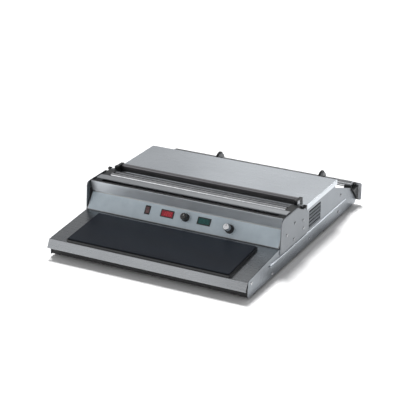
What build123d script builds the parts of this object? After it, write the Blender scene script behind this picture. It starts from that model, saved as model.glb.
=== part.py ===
from build123d import *
import os
from math import atan2, cos, hypot, sin, tan

os.makedirs("parts", exist_ok=True)

# Manual film wrapper for food trays, in millimetres.
# X runs to the operator's right, Y from the front to the rear, Z up.
# The origin lies on the table top that it stands on, under the middle of the machine.

# Driving sizes, from front to rear
body_width = 488.0
lip_run = 11.5
lip_drop = 19.5
plate_depth = 140.0
plate_margin_front = 18.0
tray_run = plate_depth + plate_margin_front
tray_rise = 12.2
panel_run = 26.8
panel_rise = 38.3
fascia_height = 27.0
fascia_lean = 5.5
deck_depth = 131.0
table_depth = 189.0
bay_depth = 131.0

# Driving heights
foot_height = 6.0
crease_height = 38.3
table_height = 102.4
inner_deck_height = 71.0
skirt_depth = 12.0

# Sheet thicknesses and clearances
side_sheet = 1.5
cover_sheet = 1.0
base_sheet = 1.2
cheek_sheet = 2.0
seat = 0.2
running_fit = 0.05
screw_fit = 0.15

# Stations along Y; the lip's lower corner is rounded off, so it reaches less far than its corner point
sheet_bend = 1.5
lip_round_loss = sheet_bend * (1 / tan(atan2(lip_drop, lip_run) / 2) - 1)
overall_depth = lip_run + tray_run + deck_depth + table_depth + bay_depth - lip_round_loss
lip_y = -overall_depth / 2 - lip_round_loss
crease_y = lip_y + lip_run
side_front_y = crease_y + 3.0
panel_y = crease_y + tray_run
panel_top_y = panel_y + panel_run
table_y = panel_y + deck_depth
bay_y = table_y + table_depth
rear_y = bay_y + bay_depth

# Levels along Z
floor_z = foot_height
pan_z = floor_z + side_sheet
crease_z = floor_z + crease_height
panel_z = crease_z + tray_rise
panel_top_z = panel_z + panel_rise
fascia_top_z = panel_top_z + fascia_height
inner_deck_z = floor_z + inner_deck_height
table_z = floor_z + table_height

# Widths along X
side_outer = body_width / 2
side_inner = side_outer - side_sheet
inside_width = 2 * (side_inner - seat)
cheek_outer = side_outer + cheek_sheet

# Working planes on the sloping tray and on the leaning panel
tray_angle = atan2(tray_rise, tray_run)
panel_angle = atan2(panel_rise, panel_run)
tray_length = hypot(tray_run, tray_rise)
panel_length = hypot(panel_run, panel_rise)


def sloping_plane(y, z, angle, height=0.0):
    """Return a plane whose x runs to the right, y up the slope and z out of the sheet."""
    normal = (0, -sin(angle), cos(angle))
    return Plane(origin=(0, y, z), x_dir=(1, 0, 0), z_dir=normal).offset(height)


def tray_plane(height=0.0):
    """Return the plane at a height above the tray, measured from its front crease."""
    return sloping_plane(crease_y, crease_z, tray_angle, height)


def panel_plane(height=0.0):
    """Return the plane at a height above the control panel, measured from its foot."""
    return sloping_plane(panel_y, panel_z, panel_angle, height)


def bent_sheet(points, thickness, width, side=Side.RIGHT, bend=sheet_bend):
    """Return a sheet bent along points in the YZ plane, spread evenly about the middle."""
    with BuildPart() as sheet:
        with BuildSketch(Plane.YZ.offset(-width / 2)):
            with BuildLine():
                FilletPolyline(*points, radius=bend)
                offset(amount=thickness, side=side)
            make_face()
        extrude(amount=width)
    return sheet.part


# Screws seen on the outside
screw_radius = 2.0
screw_head_radius = 3.6
screw_head_height = 1.6
side_screw_length = 7.0

# Feet
foot_radius = 9.0
foot_inset = 10.5
foot_front_setback = 40.0
foot_rear_setback = 60.0
foot_screw_radius = 2.0
foot_head_radius = 3.5
foot_head_height = 2.0
foot_recess = 3.0
flange_width = 20.0
foot_x = side_inner - foot_inset
foot_places = [
    (x, y)
    for x in (-foot_x, foot_x)
    for y in (side_front_y + foot_front_setback, bay_y - foot_rear_setback)
]

# Side plates: the low front, the riser under the cheek, the body and the rear arm
riser_setback = 10.0
riser_lean = 6.0
deck_edge_height = 98.0
arm_step_setback = 8.0
arm_root_height = 84.0
arm_tip_height = 50.0
arm_tip_setback = 44.0
arm_foot_setback = 3.0
arm_foot_height = 6.0
arm_heel = 8.0
front_corner_radius = 6.0
bead_start = 103.0
bead_end_setback = 68.0
bead_level = 29.0
bead_height = 8.0
bead_depth = 2.5
bead_length = rear_y - bead_end_setback - (side_front_y + bead_start)
bead_middle_y = side_front_y + bead_start + bead_length / 2

# Louvred vent in each side plate
louvre_count = 5
louvre_length = 66.0
louvre_pitch = 8.8
louvre_opening = 7.0
louvre_lip = 1.4
louvre_rise = 2.2
louvre_skin = 0.9
vent_setback = 62.0
vent_level = 61.0
vent_y = table_y + vent_setback
vent_z = floor_z + vent_level

# Cheek plates on the outside of the side plates
cheek_lean = 5.5
cheek_bottom_level = 36.5
cheek_top_level = 115.5
cheek_flat = 84.0
cheek_fall = 30.0
cheek_length = 152.0
cheek_front_y = panel_y + 1.5
cheek_rear_y = cheek_front_y + cheek_length
cheek_top_z = floor_z + cheek_top_level

# Places of the screws, as run and rise from the front lower corner of each plate
side_screw_places = [
    (side_front_y + 15.5, floor_z + 29.4),
    (panel_y - 35.5, floor_z + 7.8),
    (table_y + 34.0, floor_z + 12.4),
    (bay_y + 16.0, floor_z + 14.5),
]
cheek_screw_places = [
    (cheek_front_y + 33.0, floor_z + 71.9),
    (cheek_front_y + 72.0, floor_z + 47.7),
    (cheek_front_y + 76.0, floor_z + 84.7),
    (cheek_front_y + 121.0, floor_z + 74.8),
    (cheek_front_y + 124.0, floor_z + 54.4),
]

# Cradle rollers in the rear bay
roller_radius = 8.5
roller_wall = 1.5
roller_bush_length = 12.0
axle_radius = 4.0
front_roller_setback = 28.5
front_roller_level = 53.2
rear_roller_setback = 21.0
rear_roller_level = 50.2
front_roller_y = bay_y + front_roller_setback
front_roller_z = floor_z + front_roller_level
rear_roller_y = rear_y - rear_roller_setback
rear_roller_z = floor_z + rear_roller_level
front_roller_half = side_inner - 3.0
rear_roller_half = side_inner - 2.5


def side_outline():
    """Return the corners of a side plate in the YZ plane."""
    riser_y = panel_y + riser_setback
    tray_edge_z = crease_z + (riser_y - crease_y) * tray_rise / tray_run
    front_edge_z = crease_z + (side_front_y - crease_y) * tray_rise / tray_run
    deck_edge_z = floor_z + deck_edge_height
    table_edge_z = table_z - cover_sheet - seat
    step_y = bay_y - arm_step_setback
    return [
        (side_front_y, floor_z),
        (side_front_y, front_edge_z),
        (riser_y, tray_edge_z),
        (riser_y + riser_lean, deck_edge_z),
        (table_y + skirt_depth, deck_edge_z),
        (table_y + skirt_depth, table_edge_z),
        (step_y, table_edge_z),
        (step_y, floor_z + arm_root_height),
        (rear_y - arm_tip_setback, floor_z + arm_tip_height),
        (rear_y - arm_foot_setback, floor_z + arm_foot_height),
        (rear_y - arm_heel, floor_z),
    ]


def louvre_rows():
    """Return the level of each slot's lower edge."""
    first = vent_z - louvre_pitch * (louvre_count - 1) / 2 - louvre_opening / 2
    return [first + louvre_pitch * row for row in range(louvre_count)]


def louvre_section(bottom):
    """Return the corners of the blade that leans out over the foot of a slot."""
    lip = side_outer + louvre_lip
    foot = bottom - louvre_skin
    return [(side_inner, foot), (side_inner, bottom + louvre_rise), (lip, foot + louvre_skin / 2), (lip, foot)]


with BuildPart() as side_plate_right:
    with BuildSketch(Plane.YZ.offset(side_inner)):
        with BuildLine():
            Polyline(*side_outline(), close=True)
        make_face()
    extrude(amount=side_sheet)
    front_top = side_plate_right.edges().filter_by(Axis.X).sort_by(Axis.Y)[0:2].sort_by(Axis.Z)[-1]
    fillet(front_top, radius=front_corner_radius)
    # Flange along the lower edge, turned inwards to carry the base pan and the feet
    flange_length = rear_y - arm_heel - 4.0 - (side_front_y + 4.0)
    with BuildSketch(Plane.XY.offset(floor_z)):
        with Locations((side_inner - flange_width / 2, side_front_y + 4.0 + flange_length / 2)):
            Rectangle(flange_width, flange_length)
    extrude(amount=side_sheet)
    # Pressed bead
    with BuildSketch(Plane.YZ.offset(side_outer)):
        with Locations((bead_middle_y, floor_z + bead_level)):
            SlotOverall(bead_length, bead_height)
    extrude(amount=bead_depth, taper=25)
    with BuildSketch(Plane.YZ.offset(side_inner)):
        with Locations((bead_middle_y, floor_z + bead_level)):
            SlotOverall(bead_length - 2 * side_sheet, bead_height - 2 * side_sheet)
    extrude(amount=bead_depth, taper=15, mode=Mode.SUBTRACT)
    # Vent slots, each with its blade
    with BuildSketch(Plane.YZ.offset(side_inner)):
        with Locations(*[(vent_y, row_z + louvre_opening / 2) for row_z in louvre_rows()]):
            Rectangle(louvre_length, louvre_opening)
    extrude(amount=side_sheet, mode=Mode.SUBTRACT)
    for row_z in louvre_rows():
        with BuildSketch(Plane.XZ.offset(-vent_y - louvre_length / 2)):
            with BuildLine():
                Polyline(*louvre_section(row_z), close=True)
            make_face()
        extrude(amount=louvre_length)
    # Screw holes
    with BuildSketch(Plane.YZ.offset(side_inner)):
        with Locations(*side_screw_places, *cheek_screw_places):
            Circle(screw_radius + screw_fit)
        with Locations((front_roller_y, front_roller_z)):
            Circle(screw_radius + screw_fit)
    extrude(amount=side_sheet, mode=Mode.SUBTRACT)
    with BuildSketch(Plane.XY.offset(floor_z)):
        with Locations(*[place for place in foot_places if place[0] > 0]):
            Circle(foot_screw_radius + screw_fit)
    extrude(amount=side_sheet, mode=Mode.SUBTRACT)
side_plate_right.part.label = "side_plate_right"
export_step(side_plate_right.part, "parts/side_plate_right.step")

with BuildPart() as side_plate_left:
    mirror(side_plate_right.part, about=Plane.YZ)
side_plate_left.part.label = "side_plate_left"
export_step(side_plate_left.part, "parts/side_plate_left.step")

# Cheek plates
with BuildPart() as cheek_plate_right:
    with BuildSketch(Plane.YZ.offset(side_outer)) as cheek_outline:
        with BuildLine():
            Polyline(
                (cheek_front_y, floor_z + cheek_bottom_level),
                (cheek_front_y + cheek_lean, cheek_top_z),
                (cheek_front_y + cheek_lean + cheek_flat, cheek_top_z),
                (cheek_rear_y, cheek_top_z - cheek_fall),
                (cheek_rear_y, floor_z + cheek_bottom_level),
                close=True,
            )
        make_face()
        upper_corners = cheek_outline.vertices().sort_by(Axis.Y)[2:5]
        fillet(upper_corners, radius=12.0)
        with Locations(*cheek_screw_places):
            Circle(screw_radius + screw_fit, mode=Mode.SUBTRACT)
    extrude(amount=cheek_sheet)
    outer_rim = cheek_plate_right.faces().sort_by(Axis.X)[-1].outer_wire().edges()
    chamfer(outer_rim, length=0.4)
cheek_plate_right.part.label = "cheek_plate_right"
export_step(cheek_plate_right.part, "parts/cheek_plate_right.step")

with BuildPart() as cheek_plate_left:
    mirror(cheek_plate_right.part, about=Plane.YZ)
cheek_plate_left.part.label = "cheek_plate_left"
export_step(cheek_plate_left.part, "parts/cheek_plate_left.step")


def pan_head_screws(places, face_x, length):
    """Return domed screws that point inwards from the outer faces of both sides."""
    with BuildPart() as screws:
        with BuildSketch(Plane.YZ.offset(face_x)):
            with Locations(*places):
                Circle(screw_head_radius)
        extrude(amount=screw_head_height)
        fillet(screws.edges().group_by(Axis.X)[-1], radius=1.2)
        with BuildSketch(Plane.YZ.offset(face_x)):
            with Locations(*places):
                Circle(screw_radius)
        extrude(amount=-length)
        mirror(about=Plane.YZ)
    return screws.part


roller_screw_place = (front_roller_y, front_roller_z)
with BuildPart() as side_screws:
    add(pan_head_screws([*side_screw_places, roller_screw_place], side_outer, side_screw_length))
    add(pan_head_screws(cheek_screw_places, cheek_outer, cheek_sheet + side_sheet))
side_screws.part.label = "side_screws"
export_step(side_screws.part, "parts/side_screws.step")

# Base pan with an upright front and rear wall and rows of cooling slots
base_front_setback = 2.5
base_front_rise = 26.0
base_rear_setback = 8.0
base_front_y = side_front_y + base_front_setback
base_rear_y = bay_y - base_rear_setback
pan_middle_y = (base_front_y + base_rear_y) / 2
base_path = [
    (base_front_y, pan_z + base_front_rise),
    (base_front_y, pan_z),
    (base_rear_y, pan_z),
    (base_rear_y, pan_z + 14.0),
]
with BuildPart() as base_pan:
    add(bent_sheet(base_path, base_sheet, inside_width, side=Side.LEFT))
    with BuildSketch(Plane.XY.offset(pan_z)):
        with Locations((0, pan_middle_y + 60.0)):
            with GridLocations(70.0, 14.0, 5, 7):
                SlotOverall(44.0, 5.0)
        with Locations(*foot_places):
            Circle(foot_screw_radius + screw_fit)
    extrude(amount=base_sheet, mode=Mode.SUBTRACT)
base_pan.part.label = "base_pan"
export_step(base_pan.part, "parts/base_pan.step")

# Feet and their screws
with BuildPart() as feet:
    with BuildSketch(Plane.XY.offset(floor_z)):
        with Locations(*foot_places):
            Circle(foot_radius)
    extrude(amount=-foot_height, taper=8)
    with BuildSketch(Plane.XY):
        with Locations(*foot_places):
            Circle(foot_head_radius + 0.4)
    extrude(amount=foot_recess, mode=Mode.SUBTRACT)
    with BuildSketch(Plane.XY):
        with Locations(*foot_places):
            Circle(foot_screw_radius + screw_fit)
    extrude(amount=foot_height, mode=Mode.SUBTRACT)
feet.part.label = "feet"
export_step(feet.part, "parts/feet.step")

foot_nut_height = 3.2
foot_nut_z = pan_z + base_sheet
with BuildPart() as foot_screws:
    with BuildSketch(Plane.XY.offset(foot_recess - foot_head_height)):
        with Locations(*foot_places):
            Circle(foot_head_radius)
    extrude(amount=foot_head_height)
    with BuildSketch(Plane.XY.offset(foot_recess)):
        with Locations(*foot_places):
            Circle(foot_screw_radius)
    extrude(amount=foot_nut_z + foot_nut_height + 1.0 - foot_recess)
    with BuildSketch(Plane.XY.offset(foot_nut_z)):
        with Locations(*foot_places):
            RegularPolygon(4.0, 6)
    extrude(amount=foot_nut_height)
foot_screws.part.label = "foot_screws"
export_step(foot_screws.part, "parts/foot_screws.step")

# Front tray with its lip, bent from one sheet
lip_hem = 6.0
tray_tail = 9.0
tray_flange = 10.0
tray_path = [
    (lip_y + lip_hem, crease_z - lip_drop),
    (lip_y, crease_z - lip_drop),
    (crease_y, crease_z),
    (panel_y + tray_tail, panel_z + tray_tail * tray_rise / tray_run),
]

# Hot plate, its skirt and what lies between the plate and the tray
plate_width = 402.0
plate_front_gap = 1.5
skirt_height = 6.0
skirt_wall = 11.0
plate_thickness = 2.6
plate_margin = 2.0
pad_thickness = 3.6
plate_middle = plate_front_gap + plate_depth / 2
plate_screw_places = [
    (x, plate_middle + y)
    for x in (-(plate_width - skirt_wall) / 2, (plate_width - skirt_wall) / 2)
    for y in (-plate_depth / 4, plate_depth / 4)
]
plate_screw_depth = 1.4

with BuildPart() as front_tray:
    add(bent_sheet(tray_path, cover_sheet, body_width))
    # The tray lies between the side plates, and only the lip passes in front of them
    for sign in (-1, 1):
        with BuildSketch(Plane.YZ.offset(sign * inside_width / 2)):
            with Locations((side_front_y - seat, floor_z)):
                Rectangle(tray_run * 2, table_height, align=(Align.MIN, Align.MIN))
        extrude(amount=sign * (body_width - inside_width), mode=Mode.SUBTRACT)
    # Flanges turned down along the side plates
    for sign in (-1, 1):
        with BuildSketch(tray_plane(-tray_flange)):
            with Locations((sign * (inside_width - cover_sheet) / 2, tray_length / 2)):
                Rectangle(cover_sheet, tray_length - 24.0)
        extrude(amount=tray_flange - cover_sheet / 2)
    with BuildSketch(tray_plane(-cover_sheet * 1.5)):
        with Locations(*plate_screw_places):
            Circle(screw_radius + screw_fit)
    extrude(amount=cover_sheet * 2, mode=Mode.SUBTRACT)
    with BuildSketch(Plane.YZ.offset(-inside_width / 2)):
        with Locations(side_screw_places[0]):
            Circle(screw_radius + screw_fit)
    extrude(amount=inside_width, mode=Mode.SUBTRACT)
front_tray.part.label = "front_tray"
export_step(front_tray.part, "parts/front_tray.step")

with BuildPart() as hot_plate_skirt:
    with BuildSketch(tray_plane()):
        with Locations((0, plate_middle)):
            RectangleRounded(plate_width, plate_depth, 3.0)
            Rectangle(plate_width - 2 * skirt_wall, plate_depth - 2 * skirt_wall, mode=Mode.SUBTRACT)
        with Locations(*plate_screw_places):
            Circle(screw_radius + screw_fit, mode=Mode.SUBTRACT)
    extrude(amount=skirt_height)
hot_plate_skirt.part.label = "hot_plate_skirt"
export_step(hot_plate_skirt.part, "parts/hot_plate_skirt.step")

with BuildPart() as hot_plate:
    with BuildSketch(tray_plane(skirt_height)):
        with Locations((0, plate_middle)):
            RectangleRounded(plate_width - 2 * plate_margin, plate_depth - 2 * plate_margin, 2.5)
    extrude(amount=plate_thickness)
    chamfer(hot_plate.faces().sort_by(Axis.Z)[-1].edges(), length=1.2)
    with BuildSketch(tray_plane(skirt_height)):
        with Locations(*plate_screw_places):
            Circle(screw_radius + running_fit)
    extrude(amount=plate_screw_depth, mode=Mode.SUBTRACT)
hot_plate.part.label = "hot_plate"
export_step(hot_plate.part, "parts/hot_plate.step")

with BuildPart() as insulation_pad:
    with BuildSketch(tray_plane()):
        with Locations((0, plate_middle)):
            Rectangle(plate_width - 2 * skirt_wall - 1.0, plate_depth - 2 * skirt_wall - 1.0)
    extrude(amount=pad_thickness)
insulation_pad.part.label = "insulation_pad"
export_step(insulation_pad.part, "parts/insulation_pad.step")

with BuildPart() as heater_mat:
    with BuildSketch(tray_plane(pad_thickness)):
        with Locations((0, plate_middle)):
            Rectangle(plate_width - 2 * skirt_wall - 8.0, plate_depth - 2 * skirt_wall - 8.0)
    extrude(amount=skirt_height - pad_thickness)
heater_mat.part.label = "heater_mat"
export_step(heater_mat.part, "parts/heater_mat.step")

with BuildPart() as hot_plate_screws:
    with BuildSketch(tray_plane(-cover_sheet)):
        with Locations(*plate_screw_places):
            Circle(screw_head_radius)
    extrude(amount=-screw_head_height)
    with BuildSketch(tray_plane(-cover_sheet)):
        with Locations(*plate_screw_places):
            Circle(screw_radius)
    extrude(amount=cover_sheet + skirt_height + plate_screw_depth - 0.2)
hot_plate_screws.part.label = "hot_plate_screws"
export_step(hot_plate_screws.part, "parts/hot_plate_screws.step")

# Control panel: places of what it carries, across X and up its slope
control_level = 27.0
silver_level = 22.0
switch_x = -90.5
red_display_x = -40.0
black_knob_x = 7.0
green_display_x = 53.0
silver_knob_x = 118.0
switch_width = 13.0
switch_height = 20.5
display_width = 30.0
display_height = 14.5
bezel_rim = 1.4
bezel_proud = 1.2
bush_radius = 4.0
panel_fit = 0.2
overlay_thickness = 0.4
overlay_margin = 3.0
panel_foot = 8.0
panel_tab = 9.0
panel_path = [
    (panel_y + panel_foot, panel_z + panel_foot * tray_rise / tray_run + seat),
    (panel_y, panel_z + seat),
    (panel_top_y, panel_top_z),
    (panel_top_y - fascia_lean * panel_tab / fascia_height, panel_top_z + panel_tab),
]


def panel_openings():
    """Draw every opening of the control panel in one sketch."""
    with Locations((switch_x, control_level)):
        Rectangle(switch_width - 1.0, switch_height - 1.5)
    with Locations((red_display_x, control_level), (green_display_x, control_level)):
        Rectangle(display_width, display_height)
    with Locations((black_knob_x, control_level), (silver_knob_x, silver_level)):
        Circle(bush_radius + panel_fit)


with BuildPart() as control_panel:
    add(bent_sheet(panel_path, cover_sheet, inside_width, bend=1.2))
    with BuildSketch(panel_plane(-3.0)):
        panel_openings()
    extrude(amount=6.0, mode=Mode.SUBTRACT)
control_panel.part.label = "control_panel"
export_step(control_panel.part, "parts/control_panel.step")

with BuildPart() as panel_overlay:
    with BuildSketch(panel_plane(seat)):
        with Locations((0, panel_length / 2)):
            RectangleRounded(inside_width - 4.0, panel_length - 2 * overlay_margin, 2.0)
    extrude(amount=overlay_thickness)
    with BuildSketch(panel_plane()):
        panel_openings()
    extrude(amount=2.0, mode=Mode.SUBTRACT)
panel_overlay.part.label = "panel_overlay"
export_step(panel_overlay.part, "parts/panel_overlay.step")

# Fascia above the panel, with its upper edge folded back
fascia_lap = 1.25
fascia_hem = 8.0
fascia_drop = 6.0
fascia_y = panel_top_y - fascia_lap
fascia_path = [
    (fascia_y, panel_top_z + 0.4),
    (fascia_y - fascia_lean, fascia_top_z),
    (fascia_y - fascia_lean + fascia_hem, fascia_top_z),
    (fascia_y - fascia_lean + fascia_hem, fascia_top_z - fascia_drop),
]
with BuildPart() as fascia:
    add(bent_sheet(fascia_path, cover_sheet, inside_width))
fascia.part.label = "fascia"
export_step(fascia.part, "parts/fascia.step")

# Front proud faces of the panel, seen as the level from which fittings are measured
face_level = seat + overlay_thickness

# Main rocker switch
switch_body_depth = 16.0
rocker_gap = 0.3
rocker_tilt = 9.0
rocker_pivot_drop = 1.5
rocker_thickness = 5.0
switch_cavity_depth = 7.0
with BuildPart() as switch_frame:
    with BuildSketch(panel_plane(face_level)):
        with Locations((switch_x, control_level)):
            RectangleRounded(switch_width, switch_height, 0.8)
    extrude(amount=bezel_proud)
    with BuildSketch(panel_plane(face_level)):
        with Locations((switch_x, control_level)):
            Rectangle(switch_width - 1.4, switch_height - 1.9)
    extrude(amount=-switch_body_depth)
    with BuildSketch(panel_plane(face_level + bezel_proud)):
        with Locations((switch_x, control_level)):
            Rectangle(switch_width - 3.6, switch_height - 3.6)
    extrude(amount=-switch_cavity_depth, mode=Mode.SUBTRACT)
    with BuildSketch(panel_plane(face_level - switch_body_depth)):
        with Locations((switch_x - 2.5, control_level), (switch_x + 2.5, control_level)):
            Rectangle(0.8, 6.0)
    extrude(amount=-7.0)
switch_frame.part.label = "switch_frame"
export_step(switch_frame.part, "parts/switch_frame.step")

rocker_width = switch_width - 3.6 - 2 * rocker_gap
rocker_length = switch_height - 3.6 - 2 * rocker_gap
rocker_pivot_plane = panel_plane(face_level + bezel_proud - rocker_pivot_drop)
with BuildPart() as switch_rocker:
    with BuildSketch(Plane.YZ.offset(-rocker_width / 2)):
        with BuildLine():
            Polyline(
                (-rocker_length / 2 + 0.6, 2.0),
                (0, 0.9),
                (rocker_length / 2 - 0.6, 2.0),
                (rocker_length / 2 - 1.2, -1.6),
                (0, -rocker_thickness + 1.2),
                (-rocker_length / 2 + 1.2, -1.6),
                close=True,
            )
        make_face()
    extrude(amount=rocker_width)
    fillet(switch_rocker.edges().filter_by(Axis.X).sort_by(Axis.Z)[-2:], radius=0.5)
rocker_place = rocker_pivot_plane * Pos(switch_x, control_level, 0) * Rot(rocker_tilt, 0, 0)
switch_rocker.part.label = "switch_rocker"
switch_rocker_placed = rocker_place * switch_rocker.part
switch_rocker_placed.label = "switch_rocker"
export_step(switch_rocker_placed, "parts/switch_rocker.step")


# Displays: a bezel with its housing, and the tinted window in it
display_body_depth = 11.0
window_recess = 0.3
window_thickness = 1.6


def display_bezel(x):
    """Return the bezel and housing of a display at a place across the panel."""
    with BuildPart() as bezel:
        with BuildSketch(panel_plane(face_level)):
            with Locations((x, control_level)):
                RectangleRounded(display_width + 2 * bezel_rim, display_height + 2 * bezel_rim, 1.0)
        extrude(amount=bezel_proud)
        with BuildSketch(panel_plane(face_level)):
            with Locations((x, control_level)):
                Rectangle(display_width - 2 * panel_fit, display_height - 2 * panel_fit)
        extrude(amount=-display_body_depth)
        with BuildSketch(panel_plane(face_level + bezel_proud)):
            with Locations((x, control_level)):
                Rectangle(display_width - 1.6, display_height - 1.6)
        extrude(amount=-(window_recess + window_thickness), mode=Mode.SUBTRACT)
    return bezel


def display_window(x):
    """Return the tinted window of a display, seated in its bezel."""
    with BuildPart() as window:
        with BuildSketch(panel_plane(face_level + bezel_proud - window_recess)):
            with Locations((x, control_level)):
                Rectangle(display_width - 1.6 - 2 * running_fit, display_height - 1.6 - 2 * running_fit)
        extrude(amount=-window_thickness)
    return window


red_bezel = display_bezel(red_display_x)
red_bezel.part.label = "red_bezel"
export_step(red_bezel.part, "parts/red_bezel.step")

red_window = display_window(red_display_x)
red_window.part.label = "red_window"
export_step(red_window.part, "parts/red_window.step")

green_bezel = display_bezel(green_display_x)
green_bezel.part.label = "green_bezel"
export_step(green_bezel.part, "parts/green_bezel.step")

green_window = display_window(green_display_x)
green_window.part.label = "green_window"
export_step(green_window.part, "parts/green_window.step")

# Potentiometers, their spindles and the two knobs
spindle_radius = 3.0
pot_radius = 8.0
pot_depth = 9.0
pot_nut_height = 2.0
bush_proud = 3.4
pot_bore_depth = 6.0
knob_gap = 0.5
knob_base = face_level + knob_gap
nut_pocket_radius = 7.0
nut_pocket_height = bush_proud + 0.8
spindle_height = 13.0
spindle_end_gap = 0.4


def potentiometer(x, level):
    """Return a potentiometer body with its bush and nut."""
    with BuildPart() as pot:
        with BuildSketch(panel_plane(-cover_sheet)):
            with Locations((x, level)):
                Circle(pot_radius)
        extrude(amount=-pot_depth)
        with BuildSketch(panel_plane(-cover_sheet)):
            with Locations((x, level)):
                Circle(bush_radius)
        extrude(amount=cover_sheet + bush_proud)
        with BuildSketch(panel_plane(face_level)):
            with Locations((x, level)):
                RegularPolygon(5.6, 6)
        extrude(amount=pot_nut_height)
        with BuildSketch(panel_plane(bush_proud)):
            with Locations((x, level)):
                Circle(spindle_radius + running_fit)
        extrude(amount=-(bush_proud + pot_bore_depth), mode=Mode.SUBTRACT)
    return pot


def spindle(x, level):
    """Return the turning spindle of a potentiometer."""
    with BuildPart() as rod:
        with BuildSketch(panel_plane(spindle_end_gap - pot_bore_depth)):
            with Locations((x, level)):
                Circle(spindle_radius)
        extrude(amount=pot_bore_depth - spindle_end_gap + spindle_height)
    return rod


def knob_place(x, level):
    """Return the location of a knob's base circle on the panel."""
    return panel_plane(knob_base) * Pos(x, level, 0)


black_potentiometer = potentiometer(black_knob_x, control_level)
black_potentiometer.part.label = "black_potentiometer"
export_step(black_potentiometer.part, "parts/black_potentiometer.step")

silver_potentiometer = potentiometer(silver_knob_x, silver_level)
silver_potentiometer.part.label = "silver_potentiometer"
export_step(silver_potentiometer.part, "parts/silver_potentiometer.step")

black_spindle = spindle(black_knob_x, control_level)
black_spindle.part.label = "black_spindle"
export_step(black_spindle.part, "parts/black_spindle.step")

silver_spindle = spindle(silver_knob_x, silver_level)
silver_spindle.part.label = "silver_spindle"
export_step(silver_spindle.part, "parts/silver_spindle.step")

black_knob_radius = 9.5
black_knob_height = 15.5
flute_count = 16
with BuildPart() as black_knob:
    with BuildSketch(Plane.XZ):
        with BuildLine():
            Polyline(
                (0, 0),
                (black_knob_radius, 0),
                (black_knob_radius, 3.0),
                (black_knob_radius - 1.2, 4.2),
                (black_knob_radius - 1.7, black_knob_height),
                (0, black_knob_height),
                close=True,
            )
        make_face()
    revolve(axis=Axis.Z)
    fillet(black_knob.faces().sort_by(Axis.Z)[-1].edges(), radius=2.2)
    # Finger flutes round the upper part
    with BuildSketch(Plane.XY.offset(4.4)):
        with PolarLocations(black_knob_radius - 0.8, flute_count):
            Circle(1.15)
    extrude(amount=black_knob_height, mode=Mode.SUBTRACT)
    # Bore for the spindle and pocket over the nut
    with BuildSketch(Plane.XY):
        Circle(spindle_radius + running_fit)
    extrude(amount=spindle_height - knob_base + 0.3, mode=Mode.SUBTRACT)
    with BuildSketch(Plane.XY):
        Circle(nut_pocket_radius)
    extrude(amount=nut_pocket_height, mode=Mode.SUBTRACT)
black_knob.part.label = "black_knob"
black_knob_placed = knob_place(black_knob_x, control_level) * black_knob.part
black_knob_placed.label = "black_knob"
export_step(black_knob_placed, "parts/black_knob.step")

silver_skirt_radius = 10.5
silver_skirt_height = 7.0
silver_cap_radius = 7.5
silver_cap_height = 17.0
with BuildPart() as silver_knob_skirt:
    with BuildSketch(Plane.XY):
        Circle(silver_skirt_radius)
    extrude(amount=silver_skirt_height, taper=8)
    fillet(silver_knob_skirt.faces().sort_by(Axis.Z)[-1].edges(), radius=0.8)
    with BuildSketch(Plane.XY):
        Circle(spindle_radius + running_fit)
    extrude(amount=silver_skirt_height, mode=Mode.SUBTRACT)
    with BuildSketch(Plane.XY):
        Circle(nut_pocket_radius)
    extrude(amount=nut_pocket_height, mode=Mode.SUBTRACT)
silver_skirt_placed = knob_place(silver_knob_x, silver_level) * silver_knob_skirt.part
silver_skirt_placed.label = "silver_knob_skirt"
export_step(silver_skirt_placed, "parts/silver_knob_skirt.step")

with BuildPart() as silver_knob:
    with BuildSketch(Plane.XY.offset(silver_skirt_height)):
        Circle(silver_cap_radius)
    extrude(amount=silver_cap_height)
    chamfer(silver_knob.faces().sort_by(Axis.Z)[-1].edges(), length=1.0)
    with BuildSketch(Plane.XY.offset(silver_skirt_height + 3.0)):
        with PolarLocations(silver_cap_radius, 24):
            Circle(0.45)
    extrude(amount=silver_cap_height - 6.0, mode=Mode.SUBTRACT)
    with BuildSketch(Plane.XY.offset(silver_skirt_height)):
        Circle(spindle_radius + running_fit)
    extrude(amount=spindle_height - knob_base - silver_skirt_height + 0.3, mode=Mode.SUBTRACT)
silver_knob_placed = knob_place(silver_knob_x, silver_level) * silver_knob.part
silver_knob_placed.label = "silver_knob"
export_step(silver_knob_placed, "parts/silver_knob.step")

# Film deck between the cheeks
rest_bar_setback = 43.0
rest_bar_depth = 21.0
rest_bar_thickness = 3.0
rest_bar_half = side_inner - 2.5
block_front_setback = 35.0
block_length = 78.0
block_bottom_level = 72.0
block_thickness = 19.5
block_inner = side_inner - block_thickness
deck_top_level = 113.0
guide_roller_setback = 81.0
guide_roller_radius = 6.0
guide_roller_wall = 1.2
guide_level = 109.5
guide_axle_radius = 3.0
guide_bush_length = 10.0
film_rod_setback = 101.0
film_rod_radius = 3.5
rod_seat_depth = 10.0
deck_top_z = floor_z + deck_top_level
guide_z = floor_z + guide_level
guide_y = panel_y + guide_roller_setback
film_rod_y = panel_y + film_rod_setback
block_front_y = panel_y + block_front_setback
block_rear_y = block_front_y + block_length
guide_half = block_inner - 0.6

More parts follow.
